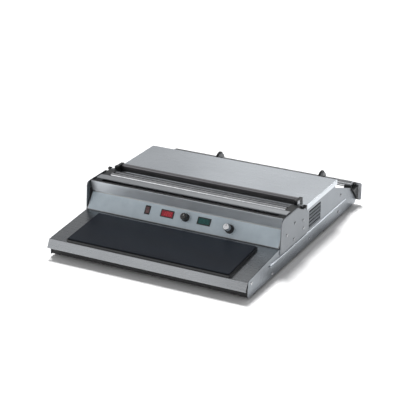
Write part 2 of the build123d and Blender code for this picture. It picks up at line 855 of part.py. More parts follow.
with BuildPart() as end_block_right:
    with BuildSketch(Plane.YZ.offset(block_inner)):
        with BuildLine():
            Polyline(
                (block_front_y, floor_z + block_bottom_level),
                (block_front_y, deck_top_z),
                (block_rear_y - 3.0, deck_top_z),
                (block_rear_y, deck_top_z - 6.0),
                (block_rear_y, floor_z + block_bottom_level),
                close=True,
            )
        make_face()
    extrude(amount=side_inner - block_inner)
    with BuildSketch(Plane.YZ.offset(block_inner)):
        with Locations((guide_y, guide_z)):
            Circle(guide_axle_radius)
        with Locations((film_rod_y, guide_z)):
            Circle(film_rod_radius - 0.5)
    extrude(amount=rod_seat_depth, mode=Mode.SUBTRACT)
    with BuildSketch(Plane.YZ.offset(side_inner)):
        with Locations(*[place for place in cheek_screw_places if place[1] > floor_z + block_bottom_level]):
            Circle(screw_radius + screw_fit)
    extrude(amount=-6.0, mode=Mode.SUBTRACT)
end_block_right.part.label = "end_block_right"
export_step(end_block_right.part, "parts/end_block_right.step")

with BuildPart() as end_block_left:
    mirror(end_block_right.part, about=Plane.YZ)
end_block_left.part.label = "end_block_left"
export_step(end_block_left.part, "parts/end_block_left.step")

with BuildPart() as film_rest_bar:
    with BuildSketch(Plane.XY.offset(deck_top_z)):
        with Locations((0, panel_y + rest_bar_setback + rest_bar_depth / 2)):
            Rectangle(2 * rest_bar_half, rest_bar_depth)
    extrude(amount=rest_bar_thickness)
    long_top = film_rest_bar.faces().sort_by(Axis.Z)[-1].edges().filter_by(Axis.X)
    fillet(long_top, radius=1.0)
film_rest_bar.part.label = "film_rest_bar"
export_step(film_rest_bar.part, "parts/film_rest_bar.step")


def cross_bar(radius, y, z, half_length, bore=0.0):
    """Return a round bar along X, spread evenly about the middle, with an optional bore."""
    with BuildPart() as bar:
        with BuildSketch(Plane.YZ.offset(-half_length)):
            with Locations((y, z)):
                Circle(radius)
                if bore > 0:
                    Circle(bore, mode=Mode.SUBTRACT)
        extrude(amount=2 * half_length)
    return bar


def end_bushes(radius, bore, y, z, half_length, length):
    """Return a pair of bushes that fill the two ends of a tube."""
    with BuildPart() as pair:
        with BuildSketch(Plane.YZ.offset(half_length - length)):
            with Locations((y, z)):
                Circle(radius)
                Circle(bore, mode=Mode.SUBTRACT)
        extrude(amount=length)
        mirror(about=Plane.YZ)
    return pair


film_rod = cross_bar(film_rod_radius, film_rod_y, guide_z, guide_half)
with BuildPart() as film_rod_turned:
    add(film_rod.part)
    add(cross_bar(film_rod_radius - 0.5, film_rod_y, guide_z, block_inner + rod_seat_depth).part)
film_rod_turned.part.label = "film_rod"
export_step(film_rod_turned.part, "parts/film_rod.step")

guide_axle = cross_bar(guide_axle_radius, guide_y, guide_z, block_inner + rod_seat_depth)
guide_axle.part.label = "guide_axle"
export_step(guide_axle.part, "parts/guide_axle.step")

guide_bore = guide_roller_radius - guide_roller_wall
guide_roller = cross_bar(guide_roller_radius, guide_y, guide_z, guide_half, guide_bore)
guide_roller.part.label = "guide_roller"
export_step(guide_roller.part, "parts/guide_roller.step")

guide_bushes = end_bushes(
    guide_bore, guide_axle_radius + running_fit, guide_y, guide_z, guide_half, guide_bush_length
)
guide_bushes.part.label = "guide_bushes"
export_step(guide_bushes.part, "parts/guide_bushes.step")

# Heated cutter bar on the front edge of the table, with its posts, heater and end caps
cutter_setback = 2.0
cutter_depth = 12.0
cutter_height = 15.6
cutter_y = table_y + cutter_setback
heater_radius = 3.2
post_width = 7.0
post_wall = 2.0
post_outer = side_inner - 9.5
post_inner = post_outer - post_width
cutter_half = post_outer - post_wall
post_plate = 2.0
post_plate_depth = 11.0
post_reach = 16.0
post_rise = 16.8
post_drop = 6.4
post_fit = 0.2
cap_radius = 4.2
cap_length = 7.5
cap_end = side_outer + 10.0
stud_radius = 2.5
stud_y = table_y - 11.0
stud_z = table_z + 6.5
stud_bore_depth = 5.0
heater_y = cutter_y + cutter_depth / 2
heater_z = table_z + cutter_height * 0.45

with BuildPart() as cutter_bar:
    with BuildSketch(Plane.YZ.offset(-cutter_half)) as cutter_section:
        with Locations((cutter_y, table_z)):
            Rectangle(cutter_depth, cutter_height, align=(Align.MIN, Align.MIN))
        fillet(cutter_section.vertices().sort_by(Axis.Y)[-2:], radius=3.5)
        with Locations((heater_y, heater_z)):
            Circle(heater_radius + 0.1, mode=Mode.SUBTRACT)
    extrude(amount=2 * cutter_half)
cutter_bar.part.label = "cutter_bar"
export_step(cutter_bar.part, "parts/cutter_bar.step")

cutter_heater = cross_bar(heater_radius, heater_y, heater_z, cutter_half - 2.0)
cutter_heater.part.label = "cutter_heater"
export_step(cutter_heater.part, "parts/cutter_heater.step")

with BuildPart() as cutter_posts:
    with BuildSketch(Plane.YZ.offset(post_inner)) as post_section:
        with BuildLine():
            Polyline(
                (table_y - post_reach, table_z - post_drop),
                (table_y - post_fit, table_z - post_drop),
                (table_y - post_fit, table_z),
                (cutter_y + cutter_depth + 1.5, table_z),
                (cutter_y + cutter_depth + 1.5, table_z + post_rise),
                (table_y - post_reach, table_z + post_rise),
                close=True,
            )
        make_face()
        fillet(post_section.vertices().sort_by(Axis.Y)[-2:], radius=2.5)
    extrude(amount=post_outer - post_inner)
    # Pocket that holds the end of the cutter bar
    with BuildSketch(Plane.YZ.offset(post_inner)) as post_pocket:
        with Locations((cutter_y - post_fit, table_z)):
            Rectangle(cutter_depth + 2 * post_fit, cutter_height + post_fit, align=(Align.MIN, Align.MIN))
        fillet(post_pocket.vertices().sort_by(Axis.Y)[-2:], radius=3.5)
    extrude(amount=cutter_half + post_fit - post_inner, mode=Mode.SUBTRACT)
    with BuildSketch(Plane.YZ.offset(post_outer)):
        with Locations((stud_y, stud_z)):
            Circle(stud_radius + running_fit)
    extrude(amount=-stud_bore_depth, mode=Mode.SUBTRACT)
    mirror(about=Plane.YZ)
cutter_posts.part.label = "cutter_posts"
export_step(cutter_posts.part, "parts/cutter_posts.step")

# Each cap sits on a stud that runs through an upright plate into the post
with BuildPart() as cutter_caps:
    with BuildSketch(Plane.YZ.offset(post_outer)):
        with Locations((table_y - post_reach, table_z - post_drop)):
            Rectangle(post_plate_depth, post_drop + post_rise, align=(Align.MIN, Align.MIN))
    extrude(amount=post_plate)
    fillet(cutter_caps.edges().filter_by(Axis.X), radius=1.5)
    with BuildSketch(Plane.YZ.offset(post_outer - stud_bore_depth + 0.4)):
        with Locations((stud_y, stud_z)):
            Circle(stud_radius)
    extrude(amount=cap_end - 1.0 - post_outer + stud_bore_depth - 0.4)
    with BuildSketch(Plane.YZ.offset(cap_end - cap_length)):
        with Locations((stud_y, stud_z)):
            Circle(cap_radius)
    extrude(amount=cap_length)
    cap_rims = cutter_caps.edges().filter_by(GeomType.CIRCLE).sort_by(Axis.X)[-1]
    fillet(cap_rims, radius=1.5)
    mirror(about=Plane.YZ)
cutter_caps.part.label = "cutter_caps"
export_step(cutter_caps.part, "parts/cutter_caps.step")

# Table, folded down on all four sides
table_lap = 0.2
table_outer = side_outer + table_lap + cover_sheet
table_notch = skirt_depth + 2.0
with BuildPart() as top_table:
    with BuildSketch(Plane.XY.offset(table_z - skirt_depth)):
        with Locations((0, table_y + table_depth / 2)):
            Rectangle(2 * table_outer, table_depth)
    extrude(amount=skirt_depth)
    fillet(top_table.faces().sort_by(Axis.Z)[-1].edges(), radius=1.5)
    offset(amount=-cover_sheet, openings=top_table.faces().sort_by(Axis.Z)[0])
    # The front corners are cut back to pass between the cheeks
    for sign in (-1, 1):
        with BuildSketch(Plane.XY.offset(table_z - skirt_depth)):
            with Locations((sign * (inside_width / 2 + table_outer) / 2, table_y + table_notch / 2)):
                Rectangle(table_outer - inside_width / 2, table_notch)
        extrude(amount=skirt_depth, mode=Mode.SUBTRACT)
top_table.part.label = "top_table"
export_step(top_table.part, "parts/top_table.step")

# Inner deck under the film path, and the rear wall of the housing
inner_front_setback = 37.0
inner_front_rise = 16.0
inner_front_y = panel_y + inner_front_setback
housing_rear_y = base_rear_y - base_sheet
inner_path = [
    (inner_front_y, inner_deck_z + inner_front_rise),
    (inner_front_y, inner_deck_z),
    (base_rear_y, inner_deck_z),
]
with BuildPart() as inner_deck:
    add(bent_sheet(inner_path, cover_sheet, inside_width, side=Side.LEFT))
    with BuildSketch(Plane.XY.offset(inner_deck_z)):
        for sign in (-1, 1):
            with Locations((sign * (inside_width - 20.0) / 2, (block_front_y + block_rear_y) / 2)):
                Rectangle(2 * block_thickness + 2.0, block_length + 1.0)
    extrude(amount=inner_front_rise + 2.0, mode=Mode.SUBTRACT)
inner_deck.part.label = "inner_deck"
export_step(inner_deck.part, "parts/inner_deck.step")

inlet_setback = 92.5
inlet_x = -(side_inner - inlet_setback)
inlet_level = 36.0
inlet_width = 28.0
inlet_height = 20.0
inlet_z = floor_z + inlet_level
wall_bottom_z = pan_z + base_sheet
wall_flange = 9.0
wall_path = [
    (housing_rear_y - cover_sheet - wall_flange, wall_bottom_z),
    (housing_rear_y - seat, wall_bottom_z),
    (housing_rear_y - seat, inner_deck_z),
    (housing_rear_y - cover_sheet - wall_flange, inner_deck_z),
]
with BuildPart() as rear_panel:
    add(bent_sheet(wall_path, cover_sheet, inside_width, side=Side.LEFT))
    with BuildSketch(Plane.XZ.offset(-housing_rear_y - 2.0)):
        with Locations((inlet_x, inlet_z)):
            Rectangle(inlet_width + 0.4, inlet_height + 0.4)
    extrude(amount=6.0, mode=Mode.SUBTRACT)
rear_panel.part.label = "rear_panel"
export_step(rear_panel.part, "parts/rear_panel.step")

wall_face_y = housing_rear_y - seat
with BuildPart() as power_inlet:
    with BuildSketch(Plane.XZ.offset(-wall_face_y)):
        with Locations((inlet_x, inlet_z)):
            RectangleRounded(48.0, 24.0, 5.0)
    extrude(amount=-3.0)
    with BuildSketch(Plane.XZ.offset(-wall_face_y)):
        with Locations((inlet_x, inlet_z)):
            Rectangle(inlet_width, inlet_height)
    extrude(amount=18.0)
    with BuildSketch(Plane.XZ.offset(-wall_face_y - 3.0)):
        with Locations((inlet_x, inlet_z)):
            RectangleRounded(24.5, 16.5, 3.0)
    extrude(amount=17.0, mode=Mode.SUBTRACT)
    with BuildSketch(Plane.XZ.offset(-wall_face_y + 14.0)):
        with Locations((inlet_x - 7.0, inlet_z - 2.0), (inlet_x + 7.0, inlet_z - 2.0), (inlet_x, inlet_z + 3.0)):
            Rectangle(2.0, 4.0)
    extrude(amount=-11.0)
power_inlet.part.label = "power_inlet"
export_step(power_inlet.part, "parts/power_inlet.step")

# Electrical parts on the floor of the base pan
inside_z = pan_z + base_sheet
transformer_x = side_inner - inlet_setback
transformer_y = table_y + 60.0
core_length = 60.0
core_width = 26.0
core_height = 50.0
core_foot = 2.0
coil_reach = 9.0
with BuildPart() as transformer:
    with BuildSketch(Plane.XY.offset(inside_z)):
        with Locations((transformer_x, transformer_y)):
            Rectangle(core_length + 16.0, core_width + 20.0)
    extrude(amount=core_foot)
    with BuildSketch(Plane.XY.offset(inside_z + core_foot)):
        with Locations((transformer_x, transformer_y)):
            Rectangle(core_length, core_width)
    extrude(amount=core_height)
    with BuildSketch(Plane.XY.offset(inside_z + core_foot + core_height / 5)):
        with Locations((transformer_x, transformer_y)):
            RectangleRounded(core_length * 0.57, core_width + 2 * coil_reach, 4.0)
    extrude(amount=core_height * 0.6)
transformer.part.label = "transformer"
export_step(transformer.part, "parts/transformer.step")

board_x = 0.0
board_y = table_y - 30.0
board_length = 114.0
board_width = 64.0
board_sheet = 1.6
pillar_radius = 3.0
pillar_height = 8.0
board_edge = 5.0
board_places = [
    (board_x + x, board_y + y)
    for x in (board_edge - board_length / 2, board_length / 2 - board_edge)
    for y in (board_edge - board_width / 2, board_width / 2 - board_edge)
]
with BuildPart() as control_board:
    with BuildSketch(Plane.XY.offset(inside_z)):
        with Locations(*board_places):
            Circle(pillar_radius)
    extrude(amount=pillar_height)
    with BuildSketch(Plane.XY.offset(inside_z + pillar_height)):
        with Locations((board_x, board_y)):
            Rectangle(board_length, board_width)
    extrude(amount=board_sheet)
    # Relays, a heat sink and two capacitors
    with BuildSketch(Plane.XY.offset(inside_z + pillar_height + board_sheet)):
        with Locations((board_x, board_y)):
            with Locations((-board_length * 0.31, board_width * 0.22), (-board_length * 0.1, board_width * 0.22)):
                Rectangle(board_length * 0.14, board_width * 0.31)
            with Locations((board_length * 0.26, 0)):
                Rectangle(board_length * 0.18, board_width * 0.47)
            with Locations((-board_length * 0.26, -board_width * 0.28), (0, -board_width * 0.28)):
                Circle(board_width * 0.09)
    extrude(amount=14.0)
control_board.part.label = "control_board"
export_step(control_board.part, "parts/control_board.step")

terminal_y = table_y + 90.0
terminal_length = 60.0
terminal_width = 20.0
terminal_height = 16.0
with BuildPart() as terminal_block:
    with BuildSketch(Plane.XY.offset(inside_z)):
        with Locations((inlet_x, terminal_y)):
            Rectangle(terminal_length, terminal_width)
    extrude(amount=terminal_height)
    with BuildSketch(Plane.XY.offset(inside_z + terminal_height)):
        with Locations((inlet_x, terminal_y)):
            with GridLocations(terminal_length / 6, terminal_width, 6, 1):
                Circle(terminal_width * 0.15)
    extrude(amount=-6.0, mode=Mode.SUBTRACT)
terminal_block.part.label = "terminal_block"
export_step(terminal_block.part, "parts/terminal_block.step")

# Front cradle roller on a fixed axle between the side plates
cradle_bore = roller_radius - roller_wall
cradle_axle = cross_bar(axle_radius, front_roller_y, front_roller_z, side_inner - 0.1)
with BuildPart() as cradle_axle_tapped:
    add(cradle_axle.part)
    with BuildSketch(Plane.YZ.offset(side_inner)):
        with Locations(roller_screw_place):
            Circle(screw_radius + running_fit)
    extrude(amount=-side_screw_length, mode=Mode.SUBTRACT)
    with BuildSketch(Plane.YZ.offset(-side_inner)):
        with Locations(roller_screw_place):
            Circle(screw_radius + running_fit)
    extrude(amount=side_screw_length, mode=Mode.SUBTRACT)
cradle_axle_tapped.part.label = "cradle_axle"
export_step(cradle_axle_tapped.part, "parts/cradle_axle.step")

cradle_roller = cross_bar(roller_radius, front_roller_y, front_roller_z, front_roller_half, cradle_bore)
cradle_roller.part.label = "cradle_roller"
export_step(cradle_roller.part, "parts/cradle_roller.step")

cradle_bushes = end_bushes(
    cradle_bore, axle_radius + running_fit, front_roller_y, front_roller_z, front_roller_half, roller_bush_length
)
cradle_bushes.part.label = "cradle_bushes"
export_step(cradle_bushes.part, "parts/cradle_bushes.step")

# Rear cradle roller in open saddles, and the two film stops that slide on it
saddle_fit = 0.1
roller_end_wall = 3.0
with BuildPart() as stop_roller:
    add(cross_bar(roller_radius, rear_roller_y, rear_roller_z, rear_roller_half).part)
    hollow_half = rear_roller_half - roller_end_wall
    add(cross_bar(cradle_bore, rear_roller_y, rear_roller_z, hollow_half).part, mode=Mode.SUBTRACT)
stop_roller.part.label = "stop_roller"
export_step(stop_roller.part, "parts/stop_roller.step")

left_stop_x = -115.0
right_stop_x = 161.0
stop_hub_radius = 17.3
stop_disc_radius = 21.0
stop_hub_length = 9.0
stop_disc_thickness = 4.0
stop_fit = 0.08
grub_radius = 2.0
grub_offset = 2.2


def stop_hub(x):
    """Return the hub of a film stop with its grub screw."""
    with BuildPart() as hub:
        with BuildSketch(Plane.YZ.offset(x - stop_hub_length / 2)):
            with Locations((rear_roller_y, rear_roller_z)):
                Circle(stop_hub_radius)
                Circle(roller_radius + stop_fit, mode=Mode.SUBTRACT)
        extrude(amount=stop_hub_length)
        rims = hub.edges().filter_by(GeomType.CIRCLE).filter_by(lambda edge: edge.radius > stop_hub_radius - 0.1)
        chamfer(rims, length=1.0)
        with BuildSketch(Plane.XY.offset(rear_roller_z)):
            with Locations((x + grub_offset, rear_roller_y)):
                Circle(grub_radius + 0.1)
        extrude(amount=stop_hub_radius + 1.0, mode=Mode.SUBTRACT)
        with BuildSketch(Plane.XY.offset(rear_roller_z + roller_radius + 0.4)):
            with Locations((x + grub_offset, rear_roller_y)):
                Circle(grub_radius)
        extrude(amount=stop_hub_radius - roller_radius - 1.6)
    return hub


def stop_disc(x):
    """Return the rubber ring stretched round a film stop's hub."""
    with BuildPart() as disc:
        with BuildSketch(Plane.YZ.offset(x - stop_disc_thickness / 2 - 2.0)):
            with Locations((rear_roller_y, rear_roller_z)):
                Circle(stop_disc_radius)
                Circle(stop_hub_radius, mode=Mode.SUBTRACT)
        extrude(amount=stop_disc_thickness)
        rims = disc.edges().filter_by(GeomType.CIRCLE).filter_by(lambda edge: edge.radius > stop_disc_radius - 0.1)
        fillet(rims, radius=1.2)
    return disc


film_stop_left = stop_hub(left_stop_x)
film_stop_left.part.label = "film_stop_left"
export_step(film_stop_left.part, "parts/film_stop_left.step")

film_stop_right = stop_hub(right_stop_x)
film_stop_right.part.label = "film_stop_right"
export_step(film_stop_right.part, "parts/film_stop_right.step")

stop_ring_left = stop_disc(left_stop_x)
stop_ring_left.part.label = "stop_ring_left"
export_step(stop_ring_left.part, "parts/stop_ring_left.step")

stop_ring_right = stop_disc(right_stop_x)
stop_ring_right.part.label = "stop_ring_right"
export_step(stop_ring_right.part, "parts/stop_ring_right.step")

# Saddle blocks in the rear corners, and the plates that close the arms behind them
saddle_width = 18.0
saddle_reach = 15.0
saddle_shoulder = 8.0
saddle_overhang = 5.0
end_plate_thickness = 2.0
end_plate_overhang = 13.0
end_plate_bottom = 6.0
end_plate_top = 49.0
saddle_bottom_level = 3.0
end_plate_y = rear_y - end_plate_thickness
saddle_front_y = rear_roller_y - saddle_reach
arm_foot_y = rear_y - arm_foot_setback
arm_slope = (arm_tip_setback - arm_foot_setback) / (arm_tip_height - arm_foot_height)
shoulder_z = rear_roller_z - saddle_shoulder
shoulder_y = arm_foot_y - (shoulder_z - floor_z - arm_foot_height) * arm_slope + 2 * seat
with BuildPart() as saddle_block_right:
    with BuildSketch(Plane.YZ.offset(side_inner - saddle_width)) as saddle_section:
        with BuildLine():
            Polyline(
                (saddle_front_y, floor_z + saddle_bottom_level),
                (saddle_front_y, shoulder_z),
                (saddle_front_y + 3.0, rear_roller_z),
                (end_plate_y, rear_roller_z),
                (end_plate_y, floor_z + saddle_bottom_level),
                close=True,
            )
        make_face()
        with Locations((rear_roller_y, rear_roller_z)):
            Circle(roller_radius + saddle_fit, mode=Mode.SUBTRACT)
    extrude(amount=saddle_width)
    # Overhang behind the arm's sloping end, flush with its slope
    with BuildSketch(Plane.YZ.offset(side_inner)):
        with BuildLine():
            Polyline(
                (shoulder_y, shoulder_z),
                (end_plate_y, shoulder_z),
                (end_plate_y, floor_z + end_plate_bottom + 2 * seat),
                close=True,
            )
        make_face()
        with Locations((rear_roller_y, rear_roller_z)):
            Circle(roller_radius + saddle_fit, mode=Mode.SUBTRACT)
    extrude(amount=side_sheet + saddle_overhang)
saddle_block_right.part.label = "saddle_block_right"
export_step(saddle_block_right.part, "parts/saddle_block_right.step")

with BuildPart() as saddle_block_left:
    mirror(saddle_block_right.part, about=Plane.YZ)
saddle_block_left.part.label = "saddle_block_left"
export_step(saddle_block_left.part, "parts/saddle_block_left.step")

end_plate_width = saddle_width + side_sheet + end_plate_overhang
with BuildPart() as arm_end_plates:
    with BuildSketch(Plane.XZ.offset(-rear_y)):
        with Locations((side_inner - saddle_width, floor_z + end_plate_bottom)):
            with Locations((end_plate_width / 2, (end_plate_top - end_plate_bottom) / 2)):
                RectangleRounded(end_plate_width, end_plate_top - end_plate_bottom, 4.0)
    extrude(amount=end_plate_thickness)
    mirror(about=Plane.YZ)
arm_end_plates.part.label = "arm_end_plates"
export_step(arm_end_plates.part, "parts/arm_end_plates.step")

# Channel that ties the two arms together, low in the bay
channel_depth = 24.0
channel_height = 14.0
channel_front_y = rear_y - 44.0
channel_path = [
    (channel_front_y, pan_z + channel_height),
    (channel_front_y, pan_z),
    (channel_front_y + channel_depth, pan_z),
    (channel_front_y + channel_depth, pan_z + channel_height),
]
with BuildPart() as rear_channel:
    add(bent_sheet(channel_path, side_sheet, 2 * (side_inner - saddle_width - seat), side=Side.LEFT))
rear_channel.part.label = "rear_channel"
export_step(rear_channel.part, "parts/rear_channel.step")
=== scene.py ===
"""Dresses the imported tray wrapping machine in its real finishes, with its light, floor and camera."""

from __future__ import annotations

import logging
import math
from collections.abc import Iterable, Mapping, Sequence
from dataclasses import dataclass, field
from enum import Enum

import bpy
from mathutils import Matrix, Vector

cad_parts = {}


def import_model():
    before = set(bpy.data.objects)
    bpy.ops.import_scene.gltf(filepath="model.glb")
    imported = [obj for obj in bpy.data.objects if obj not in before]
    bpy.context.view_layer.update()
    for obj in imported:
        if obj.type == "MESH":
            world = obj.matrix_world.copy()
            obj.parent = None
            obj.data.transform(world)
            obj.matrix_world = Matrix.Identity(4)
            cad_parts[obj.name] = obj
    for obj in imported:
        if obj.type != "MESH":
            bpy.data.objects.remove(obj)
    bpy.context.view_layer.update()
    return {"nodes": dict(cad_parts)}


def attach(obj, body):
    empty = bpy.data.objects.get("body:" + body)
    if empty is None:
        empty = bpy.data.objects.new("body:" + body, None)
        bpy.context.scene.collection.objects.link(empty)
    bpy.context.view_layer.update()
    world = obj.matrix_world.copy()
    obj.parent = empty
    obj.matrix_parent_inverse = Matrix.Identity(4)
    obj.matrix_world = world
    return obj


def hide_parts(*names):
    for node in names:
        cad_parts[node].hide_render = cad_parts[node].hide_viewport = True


log = logging.getLogger("tray_wrapper")

MM = 0.001
EPSILON = 1e-9
UPWARD_LIMIT = 0.6
BAR_BLUNTING = 0.12
# The cutter caps' real black coat, also used as painted shade on sheet faces that lie in shade
BLACK_COAT_AND_SHADE = "141416"
HOUSING = "housing"

# The length of one wave of Blender's wave texture when its scale is 1
WAVE_LENGTH = math.pi / 10

# The strokes of a seven-segment digit: place across and up, in half digits, and whether the stroke lies flat
STROKES = {
    "a": (0.0, 1.0, True),
    "b": (1.0, 0.5, False),
    "c": (1.0, -0.5, False),
    "d": (0.0, -1.0, True),
    "e": (-1.0, -0.5, False),
    "f": (-1.0, 0.5, False),
    "g": (0.0, 0.0, True),
}
DIGITS = {"0": "abcdef", "1": "bc", "2": "abged", "5": "afgcd"}

Material = bpy.types.Material
Node = bpy.types.Node
Piece = bpy.types.Object
Socket = bpy.types.NodeSocket
Tree = bpy.types.NodeTree


def linear(code: str) -> tuple[float, float, float, float]:
    """Turn an sRGB hex colour into the linear values that a shader takes.

    Args:
        code: six hex digits, with or without a leading sign.

    Returns:
        Linear red, green and blue, and an alpha of 1.
    """
    digits = code.lstrip("#")
    channels = [int(digits[i : i + 2], 16) / 255 for i in (0, 2, 4)]
    values = [c / 12.92 if c <= 0.04045 else ((c + 0.055) / 1.055) ** 2.4 for c in channels]
    return (values[0], values[1], values[2], 1.0)


def add_node(
    tree: Tree,
    kind: str,
    settings: Mapping[str, object] | None = None,
    inputs: Mapping[str | int, object] | None = None,
) -> Node:
    """Add a shader node with its settings, and with values or links on its inputs.

    Args:
        tree: the node tree that takes the node.
        kind: Blender's name for the kind of node.
        settings: properties to set on the node; "stops" fills a colour ramp.
        inputs: a value or an output socket for each named input.

    Returns:
        The new node.
    """
    node = tree.nodes.new(kind)
    for name, value in (settings or {}).items():
        if name == "stops":
            elements = node.color_ramp.elements
            while len(elements) < len(value):
                elements.new(1.0)
            for element, (place, colour) in zip(elements, value):
                element.position = place
                element.color = colour
        else:
            setattr(node, name, value)
    for name, value in (inputs or {}).items():
        if isinstance(value, Socket):
            tree.links.new(value, node.inputs[name])
        else:
            node.inputs[name].default_value = value
    return node


class Grain(Enum):
    """The way along which a surface was brushed, drawn or rolled."""

    ALONG_X = (1.0, 0.0, 0.0)
    ALONG_Z = (0.0, 0.0, 1.0)


@dataclass(frozen=True)
class Finish:
    """A surface finish: its name and what every finish sets on the shader."""

    name: str
    light: str
    dark: str
    roughness: float = 0.4
    metallic: float = 0.0

    def start(self) -> tuple[Material, Tree, Node, Socket]:
        """Make an empty material with its shader and the object's coordinates.

        Returns:
            The material, its tree, its shader and the coordinate socket.
        """
        material = bpy.data.materials.new(self.name)
        material.use_nodes = True
        tree = material.node_tree
        shader = tree.nodes["Principled BSDF"]
        shader.inputs["Metallic"].default_value = self.metallic
        shader.inputs["Roughness"].default_value = self.roughness
        coordinates = add_node(tree, "ShaderNodeTexCoord").outputs["Object"]
        return material, tree, shader, coordinates

    def tint(self, shader: Node, factor: Socket, low: float, high: float) -> None:
        """Spread the finish's dark and light tones over a pattern.

        Args:
            shader: the material's shader.
            factor: the pattern's value.
            low: the pattern's value at the dark tone.
            high: the pattern's value at the light tone.
        """
        tree = shader.id_data
        stops = [(low, linear(self.dark)), (high, linear(self.light))]
        ramp = add_node(tree, "ShaderNodeValToRGB", {"stops": stops}, {"Fac": factor})
        tree.links.new(ramp.outputs["Color"], shader.inputs["Base Color"])

    def roughen(self, shader: Node, factor: Socket, spread: float) -> None:
        """Let the roughness follow a pattern.

        Args:
            shader: the material's shader.
            factor: the pattern's value.
            spread: how far the roughness swings to each side.
        """
        tree = shader.id_data
        reached = {"From Min": 0.3, "From Max": 0.7}
        wanted = {"To Min": self.roughness - spread, "To Max": self.roughness + spread}
        mapped = add_node(tree, "ShaderNodeMapRange", {}, {"Value": factor, **reached, **wanted})
        tree.links.new(mapped.outputs["Result"], shader.inputs["Roughness"])

    def emboss(self, shader: Node, height: Socket, depth: float, strength: float) -> None:
        """Raise a pattern out of the surface.

        Args:
            shader: the material's shader.
            height: the pattern's value.
            depth: the pattern's full height, in metres.
            strength: how much of it shows.
        """
        tree = shader.id_data
        inputs = {"Height": height, "Distance": depth, "Strength": strength}
        bump = add_node(tree, "ShaderNodeBump", {}, inputs)
        tree.links.new(bump.outputs["Normal"], shader.inputs["Normal"])

    def zone_across(self, coordinates: Socket, limit: float, beyond: bool) -> Socket:
        """Mark what lies within or beyond a distance from the machine's middle.

        Args:
            coordinates: the object's coordinates.
            limit: the distance, in metres.
            beyond: whether the zone lies beyond it, rather than within it.

        Returns:
            One inside the zone and zero outside it.
        """
        tree = coordinates.id_data
        across = add_node(tree, "ShaderNodeSeparateXYZ", {}, {"Vector": coordinates}).outputs["X"]
        distance = add_node(tree, "ShaderNodeMath", {"operation": "ABSOLUTE"}, {0: across}).outputs[0]
        test = {"operation": "GREATER_THAN" if beyond else "LESS_THAN"}
        return add_node(tree, "ShaderNodeMath", test, {0: distance, 1: limit}).outputs[0]

    def zone_upward(self, tree: Tree) -> Socket:
        """Mark the faces that look up, within 53 degrees.

        Args:
            tree: the material's tree.

        Returns:
            One on those faces and zero on the others.
        """
        normal = add_node(tree, "ShaderNodeNewGeometry").outputs["True Normal"]
        rise = add_node(tree, "ShaderNodeSeparateXYZ", {}, {"Vector": normal}).outputs["Z"]
        settings = {"operation": "GREATER_THAN"}
        return add_node(tree, "ShaderNodeMath", settings, {0: rise, 1: UPWARD_LIMIT}).outputs[0]

    def blacken_coat_and_shade(self, shader: Node, zone: Socket) -> None:
        """Turn a zone into plain black: a real black coat on the cutter caps, and painted shade on the sheet
        faces that look into the machine or up.

        Args:
            shader: the material's shader.
            zone: one where the black coat or the painted shade lies.
        """
        tree = shader.id_data
        colour = shader.inputs["Base Color"].links[0].from_socket
        inputs = {0: zone, 6: colour, 7: linear(BLACK_COAT_AND_SHADE)}
        mixed = add_node(tree, "ShaderNodeMix", {"data_type": "RGBA"}, inputs).outputs[2]
        tree.links.new(mixed, shader.inputs["Base Color"])
        bare = {0: zone, 1: -self.metallic, 2: self.metallic}
        metal = add_node(tree, "ShaderNodeMath", {"operation": "MULTIPLY_ADD"}, bare).outputs[0]
        tree.links.new(metal, shader.inputs["Metallic"])

    def noise(self, vector: Socket, size: float, detail: float = 2.0) -> Socket:
        """Add a cloudy pattern whose patches have a real size.

        Args:
            vector: the coordinates.
            size: the size of a patch, in metres.
            detail: how many finer layers lie on it.

        Returns:
            The pattern's value.
        """
        inputs = {"Vector": vector, "Scale": 1.0 / size, "Detail": detail}
        return add_node(vector.id_data, "ShaderNodeTexNoise", {}, inputs).outputs["Fac"]

    def build(self) -> Material:
        """Make the finish's material; each kind of finish has its own.

        Returns:
            The material.
        """
        raise NotImplementedError


